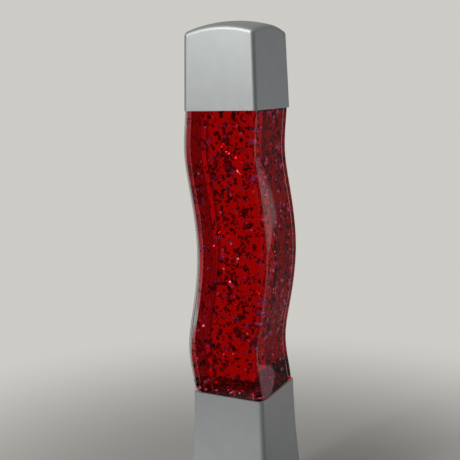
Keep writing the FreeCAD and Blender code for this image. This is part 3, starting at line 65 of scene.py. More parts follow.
@dataclass(frozen=True)
class Value:
    """A node's output that takes part in Python expressions, which add Math nodes."""

    tree: "Tree"
    socket: bpy.types.NodeSocket

    def math(self, operation: str, first: "Value | float", second: "Value | float") -> "Value":
        """Join two values by a Math node."""
        return self.tree.add("ShaderNodeMath", {"operation": operation}, {0: first, 1: second})

    def __add__(self, other: "Value | float") -> "Value":
        """Add."""
        return self.math("ADD", self, other)

    def __radd__(self, other: float) -> "Value":
        """Add to a number."""
        return self.math("ADD", other, self)

    def __sub__(self, other: "Value | float") -> "Value":
        """Subtract."""
        return self.math("SUBTRACT", self, other)

    def __rsub__(self, other: float) -> "Value":
        """Subtract from a number."""
        return self.math("SUBTRACT", other, self)

    def __mul__(self, other: "Value | float") -> "Value":
        """Multiply."""
        return self.math("MULTIPLY", self, other)

    def __rmul__(self, other: float) -> "Value":
        """Multiply a number."""
        return self.math("MULTIPLY", other, self)

    def step(self, low: float, high: float) -> "Value":
        """Rise smoothly from 0 at the low value to 1 at the high one."""
        inputs = {"Value": self, "From Min": low, "From Max": high}
        return self.tree.add("ShaderNodeMapRange", {"interpolation_type": "SMOOTHSTEP"}, inputs)


class Tree:
    """A node tree in the making."""

    def __init__(self, owner: bpy.types.Material | bpy.types.World) -> None:
        """Empty the owner's tree and start on it.

        Args:
            owner: The material or world that the tree belongs to.
        """
        owner.use_nodes = True
        self.nodes = owner.node_tree.nodes
        self.links = owner.node_tree.links
        self.nodes.clear()
        self.ending = "World" if isinstance(owner, bpy.types.World) else "Material"

    def add(self, kind: str, settings: dict | None = None, inputs: dict | None = None,
            output: str | int = 0) -> Value:
        """Add a node.

        Args:
            kind: The node's type.
            settings: Its properties, and under "stops" the places and colours of a ramp.
            inputs: Numbers, colours or Values by the input's name or number.
            output: The output that is wanted.

        Returns:
            The output.
        """
        node = self.nodes.new(kind)
        for name, setting in (settings or {}).items():
            if name == "stops":
                ramp = node.color_ramp
                while len(ramp.elements) < len(setting):
                    ramp.elements.new(1.0)
                for element, (place, colour) in zip(ramp.elements, setting):
                    element.position = place
                    element.color = (*colour, 1.0)
            else:
                setattr(node, name, setting)
        for name, given in (inputs or {}).items():
            socket = node.inputs[name]
            if isinstance(given, Value):
                self.links.new(given.socket, socket)
            elif isinstance(given, tuple) and socket.type == "RGBA":
                socket.default_value = (*given, 1.0)
            else:
                socket.default_value = given
        return Value(self, node.outputs[output])

    def place(self) -> Value:
        """The point on the piece, in metres."""
        return self.add("ShaderNodeTexCoord", output="Object")

    def stretched(self, x: float, y: float, z: float) -> Value:
        """The point on the piece, scaled along each axis."""
        return self.add("ShaderNodeMapping", None, {"Vector": self.place(), "Scale": (x, y, z)})

    def part(self, way: Value, axis: str) -> Value:
        """A vector's part along X, Y or Z."""
        return self.add("ShaderNodeSeparateXYZ", None, {0: way}, axis)

    def height(self) -> Value:
        """Height over the table, in metres."""
        return self.part(self.place(), "Z")

    def ray(self, kind: str) -> Value:
        """1 for rays of one kind and 0 for all others."""
        return self.add("ShaderNodeLightPath", None, None, kind)

    def noise(self, scale: float, detail: float, rough: float, at: Value | None = None) -> Value:
        """Noise about 0.5, with so many clouds in each metre, octaves and strength of the finer octaves."""
        inputs = {"Vector": at or self.place(), "Scale": scale, "Detail": detail, "Roughness": rough}
        return self.add("ShaderNodeTexNoise", None, inputs)

    def cells(self, scale: float) -> Value:
        """Distance to the middle of a cell, with so many cells in each metre."""
        return self.add("ShaderNodeTexVoronoi", None, {"Vector": self.place(), "Scale": scale}, "Distance")

    def blend(self, factor: Value | float, first: Value | Colour, second: Value | Colour) -> Value:
        """Mix so much of the second colour into the first."""
        return self.add("ShaderNodeMix", {"data_type": "RGBA"}, {0: factor, 6: first, 7: second}, 2)

    def bump(self, height: Value, distance: float, strength: float = 1.0) -> Value:
        """A normal from a height whose 0 lies so many metres from its 1."""
        inputs = {"Height": height, "Distance": distance, "Strength": strength}
        return self.add("ShaderNodeBump", None, inputs)

    def principled(self, inputs: dict, volume: Value | None = None) -> None:
        """Lead a Principled shader with these inputs, and a volume's shader, to the output."""
        self.finish(self.add("ShaderNodeBsdfPrincipled", None, inputs, "BSDF"), volume)

    def finish(self, surface: Value, volume: Value | None = None) -> None:
        """Lead the shaders to the output.

        Args:
            surface: The surface's shader.
            volume: The volume's shader.
        """
        node = self.nodes.new(f"ShaderNodeOutput{self.ending}")
        self.links.new(surface.socket, node.inputs["Surface"])
        if volume:
            self.links.new(volume.socket, node.inputs["Volume"])


@dataclass(frozen=True)
class Finish:
    """What every finish has: a name, a colour and a shine."""

    name: str
    colour: Colour
    roughness: float

    @cache
    def material(self) -> bpy.types.Material:
        """Make the material, the first time only.

        Returns:
            The material.
        """
        made = bpy.data.materials.new(self.name)
        self.lay(Tree(made))
        return made

    def lay(self, tree: Tree) -> None:
        """Fill the material's empty tree."""
        raise NotImplementedError

    def shade(self, share: float) -> Colour:
        """The finish's colour multiplied by a share."""
        return tuple(min(1.0, part * share) for part in self.colour)


@dataclass(frozen=True)
class SilverPaint(Finish):
    """Satin silver paint over moulded plastic, with mottling, flecks, rubbed marks and dust low down."""

    metallic: float = 0.86
    scuff: float = 0.5
    dust_top: float = 0.02

    def lay(self, tree: Tree) -> None:
        """Fill the material's tree.

        Args:
            tree: The empty tree.
        """
        cloud = tree.noise(38.0, 5.0, 0.6)
        patch = tree.noise(140.0, 3.0, 0.55)
        fleck = tree.cells(3200.0)
        rub = tree.noise(9.0, 6.0, 0.7, tree.stretched(7.0, 7.0, 1.6))
        worn = rub.step(0.62, 0.76) * self.scuff
        tone = cloud * 0.6 + patch * 0.4
        base = tree.blend(tone.step(0.25, 0.75), self.shade(0.95), self.shade(1.04))
        flecked = tree.blend(fleck.step(0.25, 0.6) * 0.14, base, self.shade(1.3))
        marked = tree.blend(worn * 0.4, flecked, self.shade(0.72))
        low_down = 1.0 - (tree.height() + cloud * 0.01 - 0.005).step(0.0, self.dust_top)
        dust = low_down * patch.step(0.3, 0.7)
        dusty = tree.blend(dust * 0.35, marked, (0.32, 0.3, 0.27))
        shine = self.roughness + cloud * 0.05 - 0.025 + worn * 0.12 + dust * 0.2
        peel = tree.noise(1500.0, 2.0, 0.5) * 0.5 + tree.noise(420.0, 2.0, 0.5) * 0.5
        tree.principled({
            "Base Color": dusty, "Metallic": self.metallic, "Roughness": shine,
            "Coat Weight": 0.15, "Coat Roughness": 0.3,
            "Normal": tree.bump(peel, 0.00002),
        })


@dataclass(frozen=True)
class ClearGlass(Finish):
    """Thick clear glass with slightly uneven faces and a few touch marks."""

    ior: float = GLASS_INDEX

    def lay(self, tree: Tree) -> None:
        """Fill the material's tree.

        Args:
            tree: The empty tree.
        """
        smear = tree.noise(60.0, 5.0, 0.65, tree.stretched(1.0, 1.0, 0.45)).step(0.56, 0.8)
        wave = tree.noise(24.0, 1.0, 0.4)
        tint = tree.blend(smear * 0.5, self.colour, self.shade(0.96))
        tree.principled({
            "Base Color": tint, "Roughness": self.roughness + smear * 0.03, "IOR": self.ior,
            "Transmission Weight": 1.0, "Normal": tree.bump(wave, 0.0003, 0.6),
        })


@dataclass(frozen=True)
class DyedLiquid(Finish):
    """Clear dyed liquid: the dye takes what isn't red, the more the deeper.

    The wetted glass bends the light for both, so the liquid's own sides bend nothing.
    """

    ior: float = 1.0
    dye: Colour = (0.95, 0.02, 0.3)
    density: float = 190.0

    def lay(self, tree: Tree) -> None:
        """Fill the material's tree.

        Args:
            tree: The empty tree.
        """
        plume = tree.noise(30.0, 3.0, 0.6, tree.stretched(1.0, 1.0, 0.3))
        tint = tree.blend(plume.step(0.35, 0.65), self.shade(0.86), self.colour)
        volume = tree.add("ShaderNodeVolumeAbsorption", None, {"Color": self.dye, "Density": self.density})
        tree.principled({
            "Base Color": tint, "Roughness": self.roughness, "IOR": self.ior, "Transmission Weight": 1.0,
        }, volume)


@dataclass(frozen=True)
class Foil(Finish):
    """Glitter foil: bright metal under lacquer whose colour plays from flake to flake."""

    other: Colour
    metallic: float = 0.9

    def lay(self, tree: Tree) -> None:
        """Fill the material's tree.

        Args:
            tree: The empty tree.
        """
        play = tree.noise(260.0, 1.0, 0.5).step(0.38, 0.62)
        grain = tree.noise(4000.0, 2.0, 0.6)
        tone = tree.blend(play, self.colour, self.other)
        tree.principled({
            "Base Color": tree.blend(grain * 0.25, tone, self.shade(0.6)), "Metallic": self.metallic,
            "Roughness": self.roughness + grain * 0.1, "Normal": tree.bump(grain, 0.00001),
        })


@dataclass(frozen=True)
class Moulded(Finish):
    """Moulded plastic or ceramic with a fine grain, flow marks and a little dust."""

    grain: float = 900.0
    relief: float = 0.00003

    def lay(self, tree: Tree) -> None:
        """Fill the material's tree.

        Args:
            tree: The empty tree.
        """
        flow = tree.noise(45.0, 4.0, 0.6, tree.stretched(1.0, 1.0, 0.35))
        grain = tree.noise(self.grain, 3.0, 0.6)
        dust = tree.noise(160.0, 5.0, 0.7).step(0.55, 0.78)
        base = tree.blend(flow.step(0.35, 0.65), self.shade(0.88), self.shade(1.05))
        dusty = tree.blend(dust * 0.22, base, (0.34, 0.32, 0.3))
        tree.principled({
            "Base Color": dusty, "Roughness": self.roughness + dust * 0.2 + grain * 0.1 - 0.05,
            "Specular IOR Level": 0.45, "Normal": tree.bump(grain, self.relief),
        })


class Lay(Enum):
    """Which way a metal's working marks run."""

    ALONG = (60.0, 60.0, 2.5)
    ROUND = (4.0, 4.0, 90.0)


@dataclass(frozen=True)
class WorkedMetal(Finish):
    """Rolled, drawn or turned metal with working marks, tarnish and small dents."""

    lay_of_marks: Lay = Lay.ROUND
    tarnish: Colour = (0.2, 0.17, 0.14)
    age: float = 0.5

    def lay(self, tree: Tree) -> None:
        """Fill the material's tree.

        Args:
            tree: The empty tree.
        """
        marks = tree.noise(40.0, 3.0, 0.6, tree.stretched(*self.lay_of_marks.value))
        spots = tree.noise(210.0, 5.0, 0.65).step(0.5, 0.74) * self.age
        base = tree.blend(marks.step(0.3, 0.7), self.shade(0.84), self.shade(1.06))
        aged = tree.blend(spots, base, self.tarnish)
        tree.principled({
            "Base Color": aged, "Metallic": 1.0 - spots * 0.35,
            "Roughness": self.roughness + marks * 0.16 - 0.08 + spots * 0.25,
            "Normal": tree.bump(marks, 0.00003),
        })


@dataclass(frozen=True)
class SoftRubber(Finish):
    """Dull rubber with a fine pebble and rubbed, paler high spots."""

    def lay(self, tree: Tree) -> None:
        """Fill the material's tree.

        Args:
            tree: The empty tree.
        """
        pebble = tree.cells(1400.0)
        rubbed = tree.noise(120.0, 4.0, 0.6).step(0.45, 0.75)
        base = tree.blend(rubbed * 0.5, self.colour, self.shade(1.7))
        tree.principled({
            "Base Color": base, "Roughness": self.roughness + rubbed * 0.12,
            "Specular IOR Level": 0.35, "Normal": tree.bump(pebble, 0.00004, 0.7),
        })


@dataclass(frozen=True)
class ReflectorGlass(Finish):
    """A reflector bulb's glass: mirrored inside up to its widest part and frosted above it."""

    mirror_top: float

    def lay(self, tree: Tree) -> None:
        """Fill the material's tree.

        Args:
            tree: The empty tree.
        """
        frost = tree.noise(1800.0, 3.0, 0.6)
        soot = tree.noise(90.0, 4.0, 0.6).step(0.5, 0.8)
        blur = 0.0005
        mirrored = 1.0 - tree.height().step(self.mirror_top - blur, self.mirror_top + blur)
        silvered = tree.blend(soot * 0.3, (0.82, 0.82, 0.8), (0.5, 0.48, 0.44))
        tree.principled({
            "Base Color": tree.blend(mirrored, self.colour, silvered), "Metallic": mirrored,
            "Roughness": self.roughness - mirrored * (self.roughness - 0.12) + frost * 0.08,
            "Transmission Weight": 0.7, "IOR": 1.5, "Normal": tree.bump(frost, 0.00002),
        })


CAP_SILVER = SilverPaint("cap_silver_paint", (0.6, 0.63, 0.62), 0.5)
BASE_SILVER = SilverPaint("base_silver_paint", (0.62, 0.65, 0.64), 0.45, metallic=0.6, scuff=0.6)
BOTTLE_GLASS = ClearGlass("bottle_glass", (0.985, 0.985, 0.975), 0.0)
# Painted shade: the foot's glass below the base's rim is tinted dark brown to stand in for the seam's shade.
SHADED_BEDDED_GLASS = ClearGlass("bedded_glass_painted_shade", (0.6, 0.55, 0.5), 0.25, BEDDED_INDEX)
WET_GLASS = ClearGlass("wet_bottle_glass", (0.99, 0.97, 0.965), 0.0, GLASS_INDEX / LIQUID_INDEX)
LIQUID_TINT: Colour = (0.97, 0.62, 0.62)
RED_DYE = DyedLiquid("red_dyed_liquid", LIQUID_TINT, 0.0)
LIQUID_TOP = DyedLiquid("red_liquid_top", LIQUID_TINT, 0.0, LIQUID_INDEX)
# Partly painted shade: this dark red is partly the glitter's own colour and partly stands for flakes seen in
# shade.
SHADED_DARK_FOIL = Foil("dark_red_foil_painted_shade", (0.3, 0.03, 0.11), 0.42, other=(0.44, 0.05, 0.17), metallic=0.4)
RED_FOIL = Foil("red_foil", (0.8, 0.05, 0.12), 0.3, other=(0.95, 0.2, 0.3), metallic=0.6)
VIOLET_FOIL = Foil("violet_foil", (0.2, 0.06, 0.4), 0.32, other=(0.6, 0.1, 0.45), metallic=0.6)
BRIGHT_FOIL = Foil("bright_foil", (0.95, 0.6, 0.62), 0.16, other=(0.95, 0.8, 0.78))
ROSE_FOIL = Foil("rose_foil", (0.95, 0.4, 0.9), 0.3, other=(0.9, 0.3, 0.8))
TIN_PLATE = WorkedMetal("closure_tin_plate", (0.62, 0.6, 0.55), 0.3)
LINER_FOAM = Moulded("closure_liner_foam", (0.78, 0.76, 0.7), 0.7, grain=2600.0, relief=0.00008)
WHITE_PLASTIC = Moulded("seat_white_plastic", (0.72, 0.71, 0.67), 0.42)
GREY_PLASTIC = Moulded("plate_grey_plastic", (0.16, 0.165, 0.17), 0.5)
BLACK_PLASTIC = Moulded("holder_black_plastic", (0.022, 0.022, 0.024), 0.38)
NATURAL_PLASTIC = Moulded("terminal_natural_plastic", (0.7, 0.67, 0.58), 0.36)
ROCKER_PLASTIC = Moulded("rocker_plastic", (0.03, 0.03, 0.032), 0.3)
BROWN_SHEATH = Moulded("brown_lead_sheath", (0.16, 0.06, 0.025), 0.35, grain=2400.0, relief=0.00001)
BLUE_SHEATH = Moulded("blue_lead_sheath", (0.02, 0.12, 0.42), 0.35, grain=2400.0, relief=0.00001)
RING_RUBBER = SoftRubber("seat_ring_rubber", (0.045, 0.045, 0.045), 0.7)
FOOT_RUBBER = SoftRubber("foot_rubber", (0.06, 0.06, 0.062), 0.72)
BUSH_RUBBER = SoftRubber("bush_rubber", (0.03, 0.03, 0.032), 0.6)
SHIELD_SHEET = WorkedMetal("shield_aluminium", (0.72, 0.73, 0.74), 0.32, Lay.ALONG, (0.3, 0.3, 0.3),
                           age=0.35)
ZINC = WorkedMetal("screw_zinc", (0.6, 0.62, 0.62), 0.34, Lay.ROUND, (0.3, 0.29, 0.24), age=0.4)
BRACKET_STEEL = WorkedMetal("bracket_steel", (0.5, 0.5, 0.47), 0.36, Lay.ALONG, (0.32, 0.28, 0.18), age=0.5)
BRASS = WorkedMetal("contact_brass", (0.72, 0.52, 0.22), 0.3, Lay.ALONG, (0.3, 0.17, 0.07), age=0.45)
SHELL_NICKEL = WorkedMetal("bulb_shell_nickel", (0.66, 0.64, 0.58), 0.28)
SOLDER = WorkedMetal("tip_solder", (0.55, 0.55, 0.55), 0.45, Lay.ROUND, (0.28, 0.28, 0.29), age=0.6)
WIRE_NICKEL = WorkedMetal("filament_wire_nickel", (0.6, 0.58, 0.54), 0.3)
TUNGSTEN = WorkedMetal("filament_tungsten", (0.28, 0.28, 0.3), 0.4, Lay.ROUND, (0.1, 0.1, 0.11), age=0.4)
BLACK_GLASS = Moulded("insulator_black_glass", (0.012, 0.012, 0.014), 0.12, grain=500.0, relief=0.00001)
LAMP_GLASS = ReflectorGlass("bulb_frosted_glass", (0.86, 0.86, 0.84), 0.42, mirror_top=0.083)


class Assembly:
    """A sub-assembly whose nodes keep the shapes that they have in the frame, and what they wear."""

    worn: dict[Finish, tuple[str, ...]]

    def dress(self) -> None:
        """Give the nodes their finishes."""
        for finish, nodes in self.worn.items():
            for node in nodes:
                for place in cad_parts[node].material_slots:
                    place.material = finish.material()
                LOG.info("%s wears %s", node, finish.name)


class Cap(Assembly):
    """The domed cap over the bottle's shoulders."""

    worn = {CAP_SILVER: ("cap_shell",)}


class Closure(Assembly):
    """The metal closure on the bottle's neck, hidden by the cap."""

    worn = {TIN_PLATE: ("closure_cap",), LINER_FOAM: ("closure_seal",)}


class Base(Assembly):
    """The flared shell with the bottle's seat, the heat shield, the plate under it and the feet."""

    worn = {
        BASE_SILVER: ("base_shell",),
        WHITE_PLASTIC: ("vessel_seat",),
        RING_RUBBER: ("seat_gasket",),
        SHIELD_SHEET: ("heat_shield",),
        GREY_PLASTIC: ("bottom_plate",),
        FOOT_RUBBER: ("feet",),
        ZINC: ("plate_screws",),
    }


class Lampholder(Assembly):
    """The lampholder on its bracket."""

    worn = {
        BRACKET_STEEL: ("holder_bracket",),
        BLACK_PLASTIC: ("lampholder_base", "lampholder_sleeve"),
        BRASS: ("thread_liner", "centre_contact"),
        ZINC: ("bracket_screws", "holder_screws"),
    }


class Wiring(Assembly):
    """The terminal block, the inner leads and the cord's inlet."""

    worn = {
        NATURAL_PLASTIC: ("terminal_block",),
        BRASS: ("terminal_inserts",),
        ZINC: ("terminal_screws", "block_screw"),
        BROWN_SHEATH: ("lead_feed", "lead_switched"),
        BLUE_SHEATH: ("lead_neutral",),
        BUSH_RUBBER: ("cord_bush",),
    }


class Switch(Assembly):
    """The rocker switch at the back."""

    worn = {
        BLACK_PLASTIC: ("switch_housing",),
        ROCKER_PLASTIC: ("switch_rocker",),
        BRASS: ("switch_blade", "switch_common_tab", "switch_load_tab"),
    }


class Bulb(Assembly):
    """The reflector bulb, mirrored up to its widest part."""

    worn = {
        LAMP_GLASS: ("bulb_glass", "bulb_stem"),
        SHELL_NICKEL: ("bulb_shell",),
        BLACK_GLASS: ("bulb_insulator",),
        SOLDER: ("bulb_tip",),
        WIRE_NICKEL: ("filament_wires",),
        TUNGSTEN: ("filament",),
    }


def into_scene(name: str, data: bpy.types.ID) -> bpy.types.Object:
    """Make an object and put it into the scene.

    Args:
        name: Its name.
        data: Its mesh, light or camera.

    Returns:
        The object.
    """
    made = bpy.data.objects.new(name, data)
    bpy.context.scene.collection.objects.link(made)
    return made


def coat(piece: bpy.types.Object, finish: Finish) -> int:
    """Add a finish to a piece, and give its number there."""
    piece.data.materials.append(finish.material())
    return len(piece.data.materials) - 1


@dataclass
class Form:
    """Points and faces of one piece, gathered ring by ring."""

    points: list[np.ndarray] = field(default_factory=list)
    faces: list[tuple[int, ...]] = field(default_factory=list)
    count: int = 0

    def ring(self, points: np.ndarray) -> list[int]:
        """Take a ring of points.

        Args:
            points: Its points, one in each row.

        Returns:
            Their numbers.
        """
        first = self.count
        self.points.append(points)
        self.count += len(points)
        return list(range(first, self.count))

    def skin(self, rings: list[list[int]]) -> None:
        """Join rings of the same length, each to the next, by four-sided faces.

        Args:
            rings: The rings' point numbers.
        """
        for lower, upper in zip(rings, rings[1:]):
            for number in range(len(lower)):
                after = (number + 1) % len(lower)
                self.faces.append((lower[number], lower[after], upper[after], upper[number]))

    def lid(self, ring: list[int], upward: bool) -> None:
        """Close a ring by a face that looks up or down."""
        self.faces.append(tuple(ring if upward else reversed(ring)))

    def stand(self, name: str, material: bpy.types.Material) -> bpy.types.Object:
        """Put what was gathered into the scene, smoothly shaded.

        Args:
            name: The object's name.
            material: Its first material.

        Returns:
            The object.
        """
        mesh = bpy.data.meshes.new(name)
        mesh.from_pydata(np.concatenate(self.points).tolist(), [], self.faces)
        mesh.shade_smooth()
        mesh.materials.append(material)
        return into_scene(name, mesh)

    def piece(self, name: str, finish: Finish, body: str, slot: str,
              replaced: tuple[str, ...] = ()) -> bpy.types.Object:
        """Make the piece and hand it to the frame.

        Args:
            name: The piece's name.
            finish: Its finish.
            body: The body that it moves with.
            slot: The record's material slot; not used.
            replaced: The nodes that it stands for.

        Returns:
            The piece.
        """
        made = self.stand(name, finish.material())
        made.data.set_sharp_from_angle(angle=math.radians(SHARP_DEGREES))
        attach(made, body)
        if replaced:
            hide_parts(*replaced)
        LOG.info("%s: %d faces, wears %s", name, len(self.faces), finish.name)
        return made


def round_square(half_x: float, half_y: float, radius: float) -> np.ndarray:
    """Points round a rounded rectangle, with a close pair at each end of every flat.

    Args:
        half_x: Half its width along X.
        half_y: Half its width along Y.
        radius: Rounding of its corners.

    Returns:
        Points in the plane, one in each row, anticlockwise.
    """
    points = []
    reach = (half_x - radius, half_y - radius)
    for number, (side_x, side_y) in enumerate(((1, 1), (-1, 1), (-1, -1), (1, -1))):
        start = number * math.pi / 2
        middle = np.array([side_x * reach[0], side_y * reach[1]])
        for step in range(ARC_STEPS + 1):
            angle = start + step * math.pi / 2 / ARC_STEPS
            points.append(middle + radius * np.array([math.cos(angle), math.sin(angle)]))
        along = np.array([[-1, 0], [0, -1], [1, 0], [0, 1]][number], float)
        length = 2 * reach[number % 2]
        tangent = points[-1]
        for step in range(FLAT_STEPS + 1):
            share = step / FLAT_STEPS
            points.append(tangent + along * (CLOSE_PAIR + (length - 2 * CLOSE_PAIR) * share))
    return np.array(points)


def shrink_to_circle(outline: np.ndarray, radius: float) -> np.ndarray:
    """Pull the points of an outline that lie outside a circle onto it."""
    far = np.linalg.norm(outline, axis=1, keepdims=True)
    return outline * np.minimum(1.0, radius / far)


@dataclass
class Wave:
    """The sideways sway of the bottle's middle line."""

    low: float = 0.1204
    high: float = 0.3414
    run_out: float = 0.016
    shares: tuple[float, ...] = (1.0, 0.845, 0.710, 0.487, 0.265, 0.150, 0.0)
    offsets_mm: tuple[float, ...] = (-0.6, -4.85, -0.65, 5.4, 0.3, -2.9, -0.8)
    heights: np.ndarray = field(init=False)
    offsets: np.ndarray = field(init=False)
    bends: np.ndarray = field(init=False)

    def __post_init__(self) -> None:
        """Work out the curve's bends at its stations, as for a spline with straight ends."""
        inner = [self.high - (self.high - self.low) * share for share in self.shares]
        self.heights = np.array([self.low - self.run_out, *inner, self.high + self.run_out])
        self.offsets = np.array([0.0, *self.offsets_mm, 0.0]) / 1000
        count = len(self.heights)
        steps = np.diff(self.heights)
        rows = np.eye(count)
        given = np.zeros(count)
        slopes = np.diff(self.offsets) / steps
        for number in range(1, count - 1):
            rows[number, number - 1] = steps[number - 1]
            rows[number, number] = 2 * (steps[number - 1] + steps[number])
            rows[number, number + 1] = steps[number]
            given[number] = 6 * (slopes[number] - slopes[number - 1])
        self.bends = np.linalg.solve(rows, given)

    def at(self, height: float | np.ndarray) -> np.ndarray:
        """Sideways offset at a height.

        Args:
            height: One height or many.

        Returns:
            The offset at each.
        """
        place = np.clip(height, self.heights[0], self.heights[-1])
        index = np.clip(np.searchsorted(self.heights, place) - 1, 0, len(self.heights) - 2)
        step = self.heights[index + 1] - self.heights[index]
        before = (self.heights[index + 1] - place) / step
        after = 1.0 - before
        bend = (before ** 3 - before) * self.bends[index] + (after ** 3 - after) * self.bends[index + 1]
        return before * self.offsets[index] + after * self.offsets[index + 1] + bend * step ** 2 / 6


@dataclass
class Bottle:
    """The wavy clear bottle and the liquid in it, a hair from the glass."""

    wave: Wave = field(default_factory=Wave)
    half: float = 0.030
    edge: float = 0.0041
    foot: float = 0.1105
    foot_half: float = 0.0276
    foot_edge: float = 0.0034
    bedding: float = 0.001
    collar_half: float = 0.02765
    shoulder: float = 0.3534
    shoulder_rise: float = 0.013
    slope_rings: int = 14
    cone_spread: float = 1.45
    neck: float = 0.013
    neck_top: float = 0.3784
    bore: float = 0.0085
    cavity_half_x: float = 0.0254
    cavity_half_y: float = 0.0256
    cavity_edge: float = 0.0026
    cavity_floor: float = 0.1194
    inner_drop: float = 0.00704
    front_wall: float = 0.0044
    level: float = 0.3534
    seep: float = -0.00003
    row: float = 0.0022

    @property
    def inner_half(self) -> float:
        """Half the hollow's width in the collar."""
        return self.collar_half - self.front_wall

    def swayed(self, form: Form, outline: np.ndarray, low: float, high: float) -> list[list[int]]:
        """Rings of an outline that follow the wave.

        Args:
            form: The form that takes them.
            outline: The outline in the plane.
            low: Height of the lowest ring.
            high: Height of the highest ring.

        Returns:
            The rings' point numbers, from low to high.
        """
        rings = []
        for height in np.linspace(low, high, int((high - low) / self.row) + 1):
            points = np.column_stack([outline, np.full(len(outline), height)])
            points[:, 0] += self.wave.at(height)
            rings.append(form.ring(points))
        return rings

    def level_ring(self, form: Form, outline: np.ndarray, height: float) -> list[int]:
        """Numbers of an outline's points at one height, on the axis."""
        return form.ring(np.column_stack([outline, np.full(len(outline), height)]))

    def shoulders(self, form: Form, half: float, edge: float, low: float, neck: float,
                  top: float = math.inf) -> list[list[int]]:
        """Rings of a square block that slopes in from its corners to a round neck.

        Args:
            form: The form that takes them.
            half: Half the block's width.
            edge: Rounding of its upright edges.
            low: Height of the slope's foot.
            neck: The neck's radius.
            top: Height up to which rings are wanted.

        Returns:
            The rings' point numbers, from low to high.
        """
        outline = round_square(half, half, edge)
        spread = half * self.cone_spread
        rings = []
        for height in np.linspace(low, min(top, low + self.shoulder_rise), self.slope_rings):
            share = (height - low) / self.shoulder_rise
            radius = spread + (neck - spread) * share
            rings.append(self.level_ring(form, shrink_to_circle(outline, radius), height))
        return rings

    def hollow(self, form: Form, seep: float = 0.0, top: float = math.inf) -> list[list[int]]:
        """Rings round the bottle's hollow.

        Args:
            form: The form that takes them.
            seep: How far they are let out into the glass, or taken in from it where it is negative.
            top: Height up to which rings are wanted.

        Returns:
            The rings' point numbers, from low to high.
        """
        half, edge = self.inner_half + seep, self.cavity_edge + seep
        high = self.wave.high + seep
        cavity = round_square(self.cavity_half_x + seep, self.cavity_half_y + seep, edge)
        rings = self.swayed(form, cavity, self.cavity_floor - seep, high)
        rings.append(self.level_ring(form, round_square(half, half, edge), high))
        rings += self.shoulders(form, half, edge, self.shoulder - self.inner_drop, self.bore, top)
        return rings

    def make_glass(self) -> None:
        """The bottle: its outside from the foot to the mouth, and its inside down to the floor."""
        form = Form()
        low, high = self.wave.low, self.wave.high
        foot = round_square(self.foot_half, self.foot_half, self.foot_edge)
        outside = round_square(self.half, self.half, self.edge)
        collar = round_square(self.collar_half, self.collar_half, self.foot_edge)
        inner = round_square(self.inner_half, self.inner_half, self.cavity_edge)
        rings = [self.level_ring(form, foot, self.foot), self.level_ring(form, foot, low)]
        rings += self.swayed(form, outside, low, high)
        rings.append(self.level_ring(form, collar, high))
        rings += self.shoulders(form, self.collar_half, self.foot_edge, self.shoulder, self.neck)
        rings.append(self.level_ring(form, shrink_to_circle(collar, self.neck), self.neck_top))
        rings.append(self.level_ring(form, shrink_to_circle(inner, self.bore), self.neck_top))
        first_inside = len(foot) * (len(rings) - 1)
        rings += reversed(self.hollow(form))
        form.skin(rings)
        form.lid(rings[0], upward=False)
        form.lid(rings[-1], upward=True)
        glass = form.piece("bottle_glass", BOTTLE_GLASS, "bottle", "clear_glass", ("vessel",))
        wet = coat(glass, WET_GLASS)
        bedded = coat(glass, SHADED_BEDDED_GLASS)
        # Faces below the base's rim wear the glass with painted shade.
        for number, face in enumerate(glass.data.polygons):
            if face.center.z < low - self.bedding:
                face.material_index = bedded
            elif number >= first_inside and face.center.z < self.level:
                face.material_index = wet

    def make_liquid(self) -> None:
        """The liquid, from the bottle's floor to its level in the shoulders."""
        form = Form()
        rings = self.hollow(form, self.seep, self.level)
        form.skin(rings)
        form.lid(rings[0], upward=False)
        form.lid(rings[-1], upward=True)
        liquid = form.piece("red_liquid", RED_DYE, "bottle", "red_liquid", ("liquid",))
        liquid.data.polygons[-1].material_index = coat(liquid, LIQUID_TOP)


class Lying(Enum):
    """Where flakes are: a word for their names, their material slot and the node that they replace."""

    FLOATING = ("floating", "glitter", "glitter_flakes")
    SETTLED = ("settled", "settled_glitter", "settled_glitter")


@dataclass(frozen=True)
class FlakeKind:
    """One colour of glitter: its name, finish and how many flakes of it float, cling, lie and glint.

    The walls that it clings to are numbered right, rear, left and front.
    """

    name: str
    finish: Finish
    floating: int
    clinging: int
    settled: int
    widest: float
    turned: int = 0
    walls: tuple[int, ...] = (0, 1, 2, 3)


